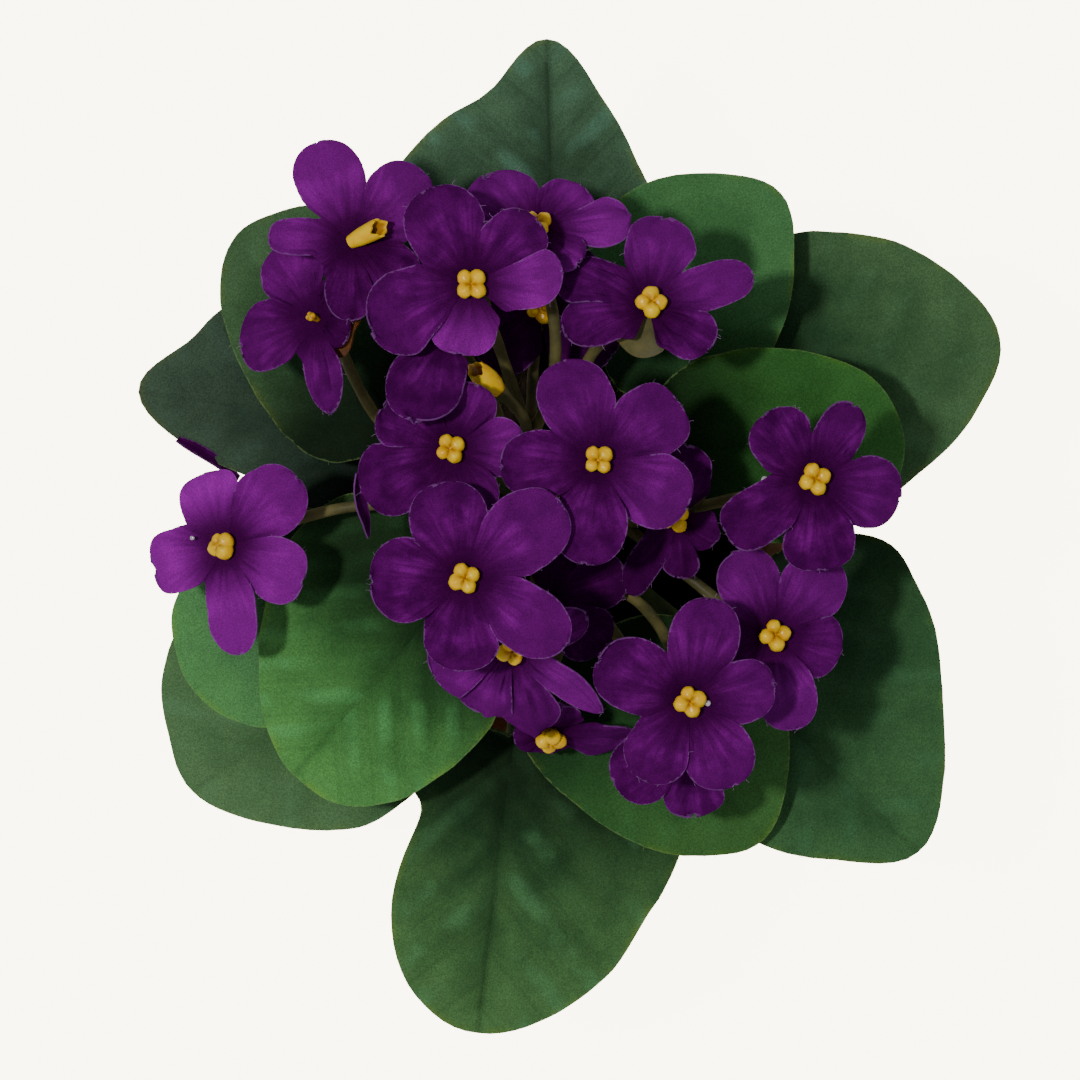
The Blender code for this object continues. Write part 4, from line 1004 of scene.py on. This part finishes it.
def petiole_path(leaf):
    """Leaf stalk from the crown to the seat, and on below the blade as its midrib."""
    azimuth, level = leaf.seat[0], leaf.level
    start = polar(azimuth, crown_radius(level) + SEAT_GAP, level)
    seat = blade_point(leaf, 0, 0) - UP * PETIOLE_RADIUS
    reach = np.linalg.norm(seat - start)
    leaving = unit(polar(azimuth, 1) + UP * 0.35) * reach * 0.4
    arriving = unit(polar(leaf.axis, 1) + UP * 0.55) * reach * 0.35
    path = bezier(start, start + leaving, seat - arriving, seat, steps=24)
    parts = np.linspace(0.03, 0.62, 16)
    rib = np.interp(parts, (0, 0.15, 0.40, 0.62), (1.9, 1.3, 0.8, 0.35))
    along = parts * leaf.outline[0]
    valley = np.minimum(blade_relief(leaf, along, parts * 0, 12 + 0 * parts), 0)
    below = blade_point(leaf, along, parts * 0, valley) - UP * (rib + 0.35)[:, None]
    return np.concatenate((path, below)), np.concatenate((np.full(len(path), PETIOLE_RADIUS), rib))


# Stalks


def swept_paths(name, paths, finish, sides=14):
    """Stalks along paths of (points, radii), as one plain mesh."""
    points, radii, edges = [], [], []
    for path, radius in paths:
        first = len(points)
        points.extend(path)
        radii.extend(np.broadcast_to(radius, len(path)) * MM)
        edges += [(first + index, first + index + 1) for index in range(len(path) - 1)]
    made = grown(name, mesh_of(points, edges, thickness=radii), STALK_TREE, Sides=sides, Finish=finish)
    smoothed(made.data, 60)
    return made


def calyx_seat(flower):
    return flower.place - facing(flower.lean) * (HUB_HALF_HEIGHT + SEAT_GAP + CALYX_DEPTH)


def pedicel_path(fork, flower):
    """Curve from the fork to below a flower."""
    normal, end = facing(flower.lean), calyx_seat(flower)
    reach = np.linalg.norm(end - fork)
    handle = flower.via if flower.via else fork + ((end - fork) * 0.25 + UP * 0.15 * reach)
    share = 0.2 if flower.via else 0.35
    arriving = unit(normal * 0.7 + UP * 0.3) * reach * share
    return bezier(fork, np.array(handle, float), end - arriving, end + normal, steps=40)


def stalk_radii(path, radius):
    """A moulded stalk's radius: a knuckle at the fork and a swelling below its flower."""
    part = np.linspace(0, 1, len(path))
    return radius * (1 + 0.35 * np.exp(-(part / 0.05) ** 2) + 0.5 * smoothstep(0.9, 1, part)
                     + 0.03 * np.sin(part * 40))


def make_spray(spray, finish):
    """One stalk cluster: its peduncle, and a stalk to each flower."""
    fork = np.array(spray.fork, float)
    foot = polar(spray.seat_azimuth, PEDUNCLE_CIRCLE, CROWN_TOP + SEAT_GAP)
    reach = np.linalg.norm(fork - foot)
    past = fork + unit(fork - foot) * 2
    trunk = bezier(foot, foot + UP * 0.4 * reach, fork - (fork - foot) * 0.3, past, steps=20)
    stalks = [pedicel_path(fork, flower) for flower in FLOWERS if flower.spray == spray.name]
    if BARE_CUP[0] == spray.name:
        place, normal = np.array(BARE_CUP[1], float), facing(BARE_CUP[2])
        reach = np.linalg.norm(place - fork)
        away = (place - fork) * 0.3 + UP * 0.15 * reach
        stalks.append(bezier(fork, fork + away, place - normal * 0.4 * reach, place, steps=30))
    paths = [(trunk, PEDUNCLE_RADIUS), *((path, stalk_radii(path, PEDICEL_RADIUS)) for path in stalks)]
    return fitted(swept_paths(spray.name + "_stalks", paths, finish), "stalk", spray.name)


def make_calyx(flower, finish):
    """Five pointed sepals cupped under a flower, round a small funnel."""
    normal = facing(flower.lean)
    first = petal_direction(normal, flower.petals[0].azimuth + 36)
    second = np.cross(normal, first)
    angle = np.arange(SEPAL_SPOKES) * 2 * math.pi / SEPAL_SPOKES
    share = np.linspace(0.03, 1, 9)[:, None]
    pointed = np.abs(np.cos(2.5 * angle)) ** 1.6
    reach = SEPAL_BASE + SEPAL_POINT * pointed
    if flower.number in SEPAL_LENGTHS:
        length, azimuth = SEPAL_LENGTHS[flower.number]
        drawn = petal_direction(normal, azimuth)
        towards = np.cos(angle - math.atan2(drawn.dot(second), drawn.dot(first)))
        reach = reach + (length - reach) * 0.85 * smoothstep(0.3, 0.85, towards)
    out = reach * share
    rise = CALYX_DEPTH - 0.55 - 2.2 * share ** 2 * pointed - 0.5 * share * np.sin(2.5 * angle) ** 2
    middle = (calyx_seat(flower) + first * (out * np.cos(angle))[..., None]
              + second * (out * np.sin(angle))[..., None] + normal * rise[..., None])
    shape = sheet(middle, SEPAL_HALF_THICKNESS, normal, wrap=True)
    return fitted(piece(f"flower_{flower.number:02d}_sepals", *shape, finish), "stalk", flower.spray)


# Flowers


def petal_width(share, petal, radius, left, right):
    """Half widths of a petal to its left and right, joined to its neighbours near the hub."""
    inner = np.sqrt(np.maximum(1 - (np.minimum(share - PETAL_WIDEST, 0) / PETAL_WIDEST) ** 2, 0))
    past = np.maximum(share - PETAL_WIDEST, 0) / (1 - PETAL_WIDEST)
    outer = np.maximum(1 - past ** petal.square, 0) ** (1 / petal.square)
    lobe = petal.breadth * petal.length / 2 * inner * outer
    joined = 1 - smoothstep(SLIT_START, SLIT_FREE, radius)
    halves = []
    for side in (left, right):
        wedge = radius * math.tan(side) * WEDGE_OVERLAP
        narrow = (lobe ** -SLIT_SHARPNESS + wedge ** -SLIT_SHARPNESS) ** (-1 / SLIT_SHARPNESS)
        halves.append(narrow + (wedge - narrow) * joined)
    return halves


def petal_height(share, column, radius, petal, creased, draw):
    """Height of a petal over its flower's plane: lift, curl, folds, waves and creases."""
    free = smoothstep(5, 11, radius)
    height = PETAL_LIFT * np.sin(math.pi * share) - 0.9 * np.exp(-(radius / 3.2) ** 2)
    height = height + (petal.bend + draw.uniform(-1.2, 0.6)) * smoothstep(0.45, 1, share) ** 2
    height = height + petal.fold * (0.5 - np.abs(column)) * smoothstep(0.25, 0.7, share)
    height = height + draw.uniform(-0.9, 0.5) * column ** 2 * free
    wave = np.sin(column * draw.uniform(2, 4) + share * draw.uniform(1, 3) + draw.uniform(0, 6))
    height = height + draw.uniform(0.3, 0.8) * wave * free * share
    ruffle = np.sin(column * draw.uniform(7, 11) + draw.uniform(0, 6)) * smoothstep(0.7, 1, share)
    height = height + 0.14 * creased * ruffle
    for place in np.linspace(-0.75, 0.75, CREASE_COUNT) + draw.uniform(-0.12, 0.12, CREASE_COUNT):
        width, depth = draw.uniform(0.06, 0.15), draw.uniform(0.05, 0.6) * creased
        start, end = draw.uniform(0.15, 0.35), draw.uniform(0.6, 1.05)
        window = smoothstep(start, start + 0.2, share) * (1 - smoothstep(end - 0.3, end, share))
        height = height - depth * np.exp(-((column - place - 0.12 * (share - 0.5)) / width) ** 2) * window
    return height


def petal_gaps(flower, first, second):
    """Half the angle in the flower's plane from each petal to its neighbours."""
    ways = [petal_direction(np.cross(first, second), petal.azimuth) for petal in flower.petals]
    angles = [math.atan2(way.dot(second), way.dot(first)) for way in ways]
    gaps = []
    for angle in angles:
        apart = [(other - angle) % (2 * math.pi) for other in angles if other != angle]
        both = (2 * math.pi - max(apart), min(apart))
        gaps.append([min(max(gap / 2, NARROWEST_GAP), WIDEST_GAP) for gap in both])
    return gaps


def petal_grid(flower, index, petal, gaps, draw):
    """Middle points of one petal, and its own coordinates: fan, radius, distance from the edge."""
    normal = facing(flower.lean)
    columns = np.sin(np.linspace(-math.pi / 2, math.pi / 2, PETAL_COLUMNS))[None, :]
    share = (1 - (1 - np.linspace(0.02, 0.985, PETAL_ROWS)) ** 1.7)[:, None]
    along = petal_direction(normal, petal.azimuth)
    radius = share * petal.length
    right, left = gaps
    half = np.where(columns > 0, *petal_width(share, petal, radius, left, right))
    uneven = 0.035 * ripple(radius, np.sign(columns) * 9, 9, flower.number * 7 + index)
    uneven = uneven + 0.012 * ripple(radius, np.sign(columns) * 9, 2.2, flower.number * 5 + index)
    lateral = columns * half * (1 + uneven * smoothstep(6, 12, radius))
    height = petal_height(share, columns, radius, petal, flower.creased, draw)
    roll = math.radians(PETAL_ROLL) * (0.12 + 0.88 * smoothstep(5, 11, radius))
    tip = 0.35 * ripple(columns * petal.length / 3, columns * 0, 7, flower.number + 31 * index)
    grid = (flower.place + along * (radius + tip * smoothstep(0.5, 1, share))[..., None]
            + np.cross(normal, along) * (lateral * np.cos(roll) - height * np.sin(roll))[..., None]
            + normal * (lateral * np.sin(roll) + height * np.cos(roll))[..., None])
    rim = np.minimum((1 - np.abs(columns)) * half + 6 * (1 - smoothstep(7, 9.5, radius)),
                     (share[-1] - share) * petal.length)
    return grid, np.stack((lateral / np.maximum(radius, 1), radius + 0 * columns, rim), -1).reshape(-1, 3)


def make_corolla(flower, finish):
    """Five cloth petals that run together at the hub, each a fine closed sheet."""
    normal = facing(flower.lean)
    first = petal_direction(normal, 0)
    all_gaps = petal_gaps(flower, first, np.cross(normal, first))
    sheets, places, tones = [], [], []
    for index, (petal, gaps) in enumerate(zip(flower.petals, all_gaps)):
        draw = np.random.default_rng(flower.number * 10 + index)
        grid, own = petal_grid(flower, index, petal, gaps, draw)
        sheets.append(sheet(grid, PETAL_HALF_THICKNESS, normal))
        places += [own, own]
        # Brightness the cloth shows: partly its own colour, partly painted light above 0 and painted shade
        # below 0
        tone = draw.uniform(0, RANDOM_TONE) if petal.tone is None else petal.tone
        tones += [tone] * len(own) * 2
    made = piece(f"flower_{flower.number:02d}_cloth", *together(sheets), finish,
                 place=np.concatenate(places), tone=tones)
    return fitted(made, "petal", f"flower_{flower.number:02d}_petals")


def stand(made, foot, normal, azimuth):
    """Stand a local shape on a point, facing along a normal."""
    first = petal_direction(normal, azimuth)
    columns = (first, np.cross(normal, first), normal, np.asarray(foot) * MM)
    rows = [[float(axis[row]) for axis in columns] for row in range(3)]
    made.data.transform(Matrix([*rows, (0, 0, 0, 1)]))


def store_seams_and_shade(mesh):
    """Store how far into the middle of an anther head each point lies, from 0 to 1, most between the balls
    and low under them: the seams' own colour and painted shade.
    """
    points = np.empty(len(mesh.vertices) * 3)
    mesh.vertices.foreach_get("co", points)
    x, y, z = points.reshape(-1, 3).T / MM
    between = 0.5 - 0.5 * np.cos(ANTHER_COUNT * np.arctan2(y, x))
    depth = np.clip((2.6 - np.hypot(x, y)) / 2.0, 0, 1) * (0.35 + 0.65 * between)
    depth = np.maximum(depth, 0.8 * (1 - smoothstep(0.5, 2.4, z)))
    mesh.attributes.new("seam", "FLOAT", "POINT").data.foreach_set("value", depth)


def make_anthers(flower, finish):
    """The yellow centre of a flower."""
    normal = facing(flower.lean)
    draw = np.random.default_rng(400 + flower.number)
    shape = (draw.uniform(1.62, 1.78), draw.uniform(1.75, 1.95), 0.12, 1.7, 3.0)
    ball, spread, uneven, column, height = (float(value) for value in ODD_HEADS.get(flower.number, shape))
    made = grown(f"flower_{flower.number:02d}_anthers", mesh_of([]), ANTHER_TREE, Seed=flower.number,
                 Finish=finish, Ball_Radius=ball * MM, Spread=spread * MM, Unevenness=uneven,
                 Column_Radius=column * MM, Column_Height=height * MM)
    store_seams_and_shade(made.data)
    stand(made, flower.place - normal * HEAD_SINK, normal, flower.turn)
    made.data.shade_smooth()
    return fitted(made, "anther", f"flower_{flower.number:02d}_centre")


def make_tube(name, node, foot, normal, wall, height, finish, lip, azimuth, sides=48):
    """A small open plastic tube with a torn lip: outer wall, rim, bore and floor.

    The wall is a profile of (radius, part of height, how far it follows the tear), and
    lip is how far the tear raises and lowers the rim, with the azimuth of its high side.
    """
    angle = np.arange(sides) * 2 * math.pi / sides
    torn = lip * (np.cos(angle) + 0.45 * np.sin(3 * angle + 1) + 0.3 * np.sin(7 * angle)) / 1.5
    rings = [np.stack((radius * np.cos(angle), radius * np.sin(angle), part * height + follows * torn), -1)
             for radius, part, follows in wall]
    depth = np.repeat([0.1 if follows else 0.0 for _, _, follows in wall], sides)
    depth[-3 * sides:] = 0.9  # the shaded floor of the bore
    made = piece(name, rings, tube_faces(len(rings), sides), finish, seam=depth)
    stand(made, foot, normal, azimuth)
    return fitted(made, "anther", node)


# Loose fibres


def edge_roots(made, share, seed):
    """Random points on the cut edge of a cloth piece, and the outward way there."""
    mesh = made.data
    fields = (mesh.vertices, "co"), (mesh.attributes["place"].data, "vector"), (mesh.vertices, "normal")
    values = np.empty((3, len(mesh.vertices) * 3))
    for row, (store, field) in zip(values, fields):
        store.foreach_get(field, row)
    points, own, normals = values.reshape(3, -1, 3)
    on_edge = np.flatnonzero(own[:, 2] < FIBRE_MARGIN)
    draw = np.random.default_rng(seed)
    chosen = draw.choice(on_edge, int(len(on_edge) * share), replace=False)
    return points[chosen] / MM, unit(normals[chosen] + 0.5 * draw.normal(size=(len(chosen), 3)))


def make_threads(name, cloths, share, finish, slot, seed, **sizes):
    """Loose fibres round the edges of several cloth pieces, as one mesh."""
    roots, headings = zip(*(edge_roots(made, share, seed + index) for index, made in enumerate(cloths)))
    source = mesh_of(np.concatenate(roots), heading=np.concatenate(headings))
    return fitted(grown(name, source, THREAD_TREE, Seed=seed, Finish=finish, **sizes), slot)


# Pot, soil and crown


def rounded(corners, radius=0.8, steps=4):
    """Profile of (radius, height) with each inner corner rounded off."""
    corners = [np.array(corner, float) for corner in corners]
    made = [corners[0]]
    for before, here, following in zip(corners, corners[1:], corners[2:]):
        enter, leave = (here + unit(side - here) * min(radius, np.linalg.norm(side - here) * 0.4)
                        for side in (before, following))
        made += [enter * (1 - t) ** 2 + here * 2 * t * (1 - t) + leave * t * t
                 for t in np.linspace(0, 1, steps)]
    return [*made, corners[-1]]


def pot_inner_radius(height):
    share = (height - POT_FLOOR) / (POT_HEIGHT - POT_FLOOR)
    return POT_FLOOR_RADIUS + (POT_MOUTH_RADIUS - POT_FLOOR_RADIUS) * share


def make_pot(finish):
    """Turned clay pot, a little uneven, with its drain holes cut through."""
    collar = POT_HEIGHT - POT_COLLAR_HEIGHT
    taper = POT_NECK_RADIUS - POT_FOOT_RADIUS
    wall = [(POT_FOOT_RADIUS + taper * part, POT_EDGE + (collar - POT_EDGE) * part)
            for part in np.linspace(0.08, 1, 14)]
    points, faces = turned(rounded([
        (0.5, 0), (POT_FOOT_RADIUS - POT_EDGE, 0), (POT_FOOT_RADIUS, POT_EDGE), *wall,
        (POT_RIM_RADIUS - 1.2, collar), (POT_RIM_RADIUS, collar + 1.4),
        (POT_RIM_RADIUS, POT_HEIGHT - POT_EDGE), (POT_RIM_RADIUS - POT_EDGE, POT_HEIGHT),
        (POT_MOUTH_RADIUS, POT_HEIGHT), (POT_FLOOR_RADIUS, POT_FLOOR), (0.5, POT_FLOOR)]), POT_SIDES)
    angle = np.arctan2(points[..., 1], points[..., 0])
    uneven = 1 + 0.0012 * np.sin(3 * angle + 1) + 0.001 * np.sin(7 * angle + points[..., 2] * 0.2)
    points[..., :2] *= uneven[..., None]
    pot = piece("pot_body", points, faces, finish, 35)
    drains = bpy.data.collections.new("drains")
    bpy.context.scene.collection.children.link(drains)
    for index in range(DRAIN_COUNT):
        middle = polar(360 / DRAIN_COUNT * (index + 0.5), DRAIN_CIRCLE)
        hole_points, hole_faces = turned([(DRAIN_RADIUS, -3), (DRAIN_RADIUS, POT_FLOOR + 3)], 32)
        hole = piece("drain", hole_points + middle, hole_faces, finish)
        bpy.context.scene.collection.objects.unlink(hole)
        drains.objects.link(hole)
    modifier = pot.modifiers.new("drain holes", "BOOLEAN")
    modifier.operation, modifier.operand_type = "DIFFERENCE", "COLLECTION"
    modifier.collection, modifier.solver = drains, "EXACT"
    mesh = evaluated_mesh(pot)
    for used in (pot, *drains.objects):
        bpy.data.objects.remove(used)
    bpy.data.collections.remove(drains)
    smoothed(mesh, 35)
    return fitted(linked("clay_pot", mesh), "clay", "pot")


def make_soil(finish):
    """Body of potting mix with a lumpy top and the hole for the crown."""
    bottom = POT_FLOOR + SEAT_GAP
    edge = pot_inner_radius(SOIL_EDGE_HEIGHT) - 2 * SEAT_GAP
    top = [(radius, SOIL_EDGE_HEIGHT) for radius in np.linspace(edge, SOIL_HOLE_RADIUS, 40)]
    rings = [(pot_inner_radius(bottom) - SEAT_GAP, bottom), *top, (SOIL_HOLE_RADIUS, SOIL_HOLE_BOTTOM)]
    points, faces = turned(rings, POT_SIDES)
    x, y, height = np.moveaxis(points[1:-1], -1, 0)
    lumps = sum(size * ripple(x, y, width, seed) for size, width, seed in SOIL_LUMPS)
    height += SOIL_DOME * (1 - np.hypot(x, y) / POT_MOUTH_RADIUS) + lumps
    return fitted(piece("potting_mix", points, faces, finish, 80), "soil", "soil")


def make_crown(finish):
    """Moulded stump with a domed top and faint rings."""
    heights = np.linspace(CROWN_BOTTOM, 98.4, 34)
    rings = [(crown_radius(height) + 0.25 * math.sin(height * 1.3), height) for height in heights]
    rings += [(7.6, 99.4), (6.2, 99.9), (3.0, CROWN_TOP), (0.4, CROWN_TOP)]
    shape = turned([(0.4, CROWN_BOTTOM), *rings], 48)
    return fitted(piece("crown_stump", *shape, finish), "crown", "crown")


# Small marks


def seen_at(column, row, height):
    """World point in mm that the photograph shows at a pixel, at a known height."""
    scale = (CAMERA_PLACE[2] / MM - height) / CAMERA_FOCUS
    half = CAMERA_FRAME / 2
    return np.array((CAMERA_PLACE[0] / MM + (column - half) * scale,
                     CAMERA_PLACE[1] / MM - (row - half) * scale, height))


def make_beads(finish):
    """Beads of glue left where petals were stuck."""
    beads = []
    for index, (column, row, height, size) in enumerate(GLUE_BEADS):
        profile = [(math.sin(part) * size, math.cos(part) * size * 0.5)
                   for part in np.linspace(0.08, 3.06, 18)]
        bead, faces = turned(profile, 28)
        bead = bead.reshape(-1, 3)
        uneven = 1 + 0.3 * ripple(bead[:, 0] + bead[:, 2], bead[:, 1], 3.2 * size, index)
        beads.append((bead * uneven[:, None] + seen_at(column, row, height), faces))
    return fitted(piece("glue_beads", *together(beads), finish), "petal")


def make_strip(name, finish):
    """A narrow strip of cloth along a smooth path, cupped across its width."""
    tone, twist, stations = STRIPS[name]
    twist = math.radians(twist)
    marks = np.array([(*seen_at(column, row, height), width) for column, row, height, width in stations])
    fine = np.linspace(0, len(marks) - 1, STRIP_STEPS)
    curve = np.stack([np.interp(fine, range(len(marks)), marks[:, axis]) for axis in range(4)], -1)
    for _ in range(6):
        curve[1:-1] = (curve[:-2] + 2 * curve[1:-1] + curve[2:]) / 4
    path, half = curve[:, :3], curve[:, 3, None, None] / 2
    step = unit(np.gradient(path, axis=0))
    across = unit(np.cross(step, UP))
    lift = np.cross(across, step)
    side = across * math.cos(twist) + lift * math.sin(twist)
    columns = np.linspace(-1, 1, STRIP_COLUMNS)[None, :, None]
    grid = path[:, None] + side[:, None] * columns * half + lift[:, None] * columns ** 2 * half * 0.5
    points, faces = sheet(grid, PETAL_HALF_THICKNESS, UP + 0.01)
    rim = np.minimum((1 - np.abs(columns)) * half, 9)[..., 0]
    own = np.stack((columns[..., 0] + 0 * rim, 12 + 0 * rim, rim), -1).reshape(-1, 3)
    made = piece(name, points, faces, finish, place=np.concatenate((own, own)),
                 tone=np.full(len(points), tone))
    return fitted(made, "petal")


# Camera, light and floor


def make_camera():
    data = bpy.data.cameras.new("camera")
    data.sensor_width = CAMERA_SENSOR
    data.lens = CAMERA_FOCUS / CAMERA_FRAME * CAMERA_SENSOR
    data.clip_start, data.clip_end = 0.01, 20
    camera = linked("camera", data)
    camera.location = CAMERA_PLACE
    bpy.context.scene.camera = camera


def make_light(name, place, size, power, colour):
    data = bpy.data.lights.new(name, "AREA")
    data.shape, data.size, data.energy, data.color = "DISK", size, power, colour
    light = linked(name, data)
    light.location = place
    way = Vector(LIGHT_TARGET) - Vector(place)
    light.rotation_euler = way.to_track_quat("-Z", "Y").to_euler()


def make_surroundings():
    """Plain pale floor and soft studio light, the key a little from the left."""
    for light in LIGHTS:
        make_light(*light)
    world = bpy.data.worlds.new("studio")
    world.use_nodes = True
    sky = world.node_tree.nodes["Background"].inputs
    sky[0].default_value, sky[1].default_value = SKY_COLOUR, SKY_STRENGTH
    bpy.context.scene.world = world
    corners = [(x * FLOOR_REACH, y * FLOOR_REACH, 0) for x, y in ((-1, -1), (1, -1), (1, 1), (-1, 1))]
    floor = linked("floor", mesh_of(corners, faces=[(0, 1, 2, 3)]))
    paper = Finish("floor_paper", 1.0, 0.0, Base_Color=linear((236, 232, 225)),
                   Emission_Color=(1.0, 0.925, 0.70, 1.0))
    glow = paper.times(paper.put("ShaderNodeLightPath")["Is Camera Ray"], FLOOR_GLOW)
    paper.tree.links.new(glow, paper.shader.inputs["Emission Strength"])
    floor.data.materials.append(paper.material)


# The plant


def dress_pot():
    make_pot(clay_finish())
    # Soil and crumbs dark partly as the mix's own colour, partly as painted shade under the bush
    soil = make_soil(soil_finish("potting_mix", (20, 16, 13), (46, 36, 28)))
    make_crown(stalk_plastic("crown_plastic", (50, 52, 28), (84, 84, 46)))
    crumbs = grown("crumbs", soil.data.copy(), CRUMB_TREE, Seed=5, Density=230000.0, Size=1.1 * MM,
                   Finish=soil_finish("crumb", (26, 20, 16), (62, 48, 36)))
    fitted(crumbs, "soil")


def dress_leaves():
    plastic = stalk_plastic("petiole_plastic", (58, 78, 40), (96, 112, 62))
    blades = []
    for leaf in LEAVES:
        blades.append(make_blade(leaf))
        fitted(swept_paths(leaf.name + "_stalk", [petiole_path(leaf)], plastic), "stalk", leaf.name)
    fibre = plain_fibre("leaf_fibre", (96, 138, 70), (150, 180, 110))
    make_threads("leaf_fibres", blades, 0.12, fibre, "leaf_upper", 60, Length=0.7 * MM, Thickness=0.035 * MM)


def dress_flowers():
    cloth, yellow = petal_cloth(), anther_plastic()
    olive = stalk_plastic("stalk_plastic", (70, 68, 38), (108, 102, 58))
    dry = stalk_plastic("dry_calyx_plastic", (84, 44, 12), (118, 70, 20))
    for spray in SPRAYS:
        make_spray(spray, olive)
    corollas = []
    for flower in FLOWERS:
        corollas.append(make_corolla(flower, cloth))
        make_calyx(flower, dry if flower.number == DRY_CALYX else olive)
        if flower.number != OPEN_CENTRE:
            make_anthers(flower, yellow)
    lost = FLOWERS[OPEN_CENTRE - 1]
    foot = lost.place + facing(lost.lean) * TUBE_RISE
    make_tube("flower_01_tube", "flower_01_centre", foot, facing(TUBE_LEAN), TUBE_WALL, TUBE_LENGTH,
              yellow, lip=1.3, azimuth=30)
    normal = facing(BARE_CUP[2])
    wall = [(radius * BARE_CUP_SCALE, part, follows) for radius, part, follows in CUP_WALL]
    make_tube("bare_cup_plastic", "bare_cup", BARE_CUP[1] + normal * SEAT_GAP, normal, wall,
              CUP_HEIGHT * BARE_CUP_SCALE, yellow, lip=1.0, azimuth=130)
    lilac = plain_fibre("petal_fibre", (150, 90, 166), (206, 160, 214))
    make_threads("petal_fibres", corollas, 0.05, lilac, "petal", 20, Length=0.9 * MM, Thickness=0.03 * MM)
    for name in STRIPS:
        make_strip(name, cloth)
    make_beads(set_glue())


make_camera()
make_surroundings()
dress_pot()
dress_leaves()
dress_flowers()
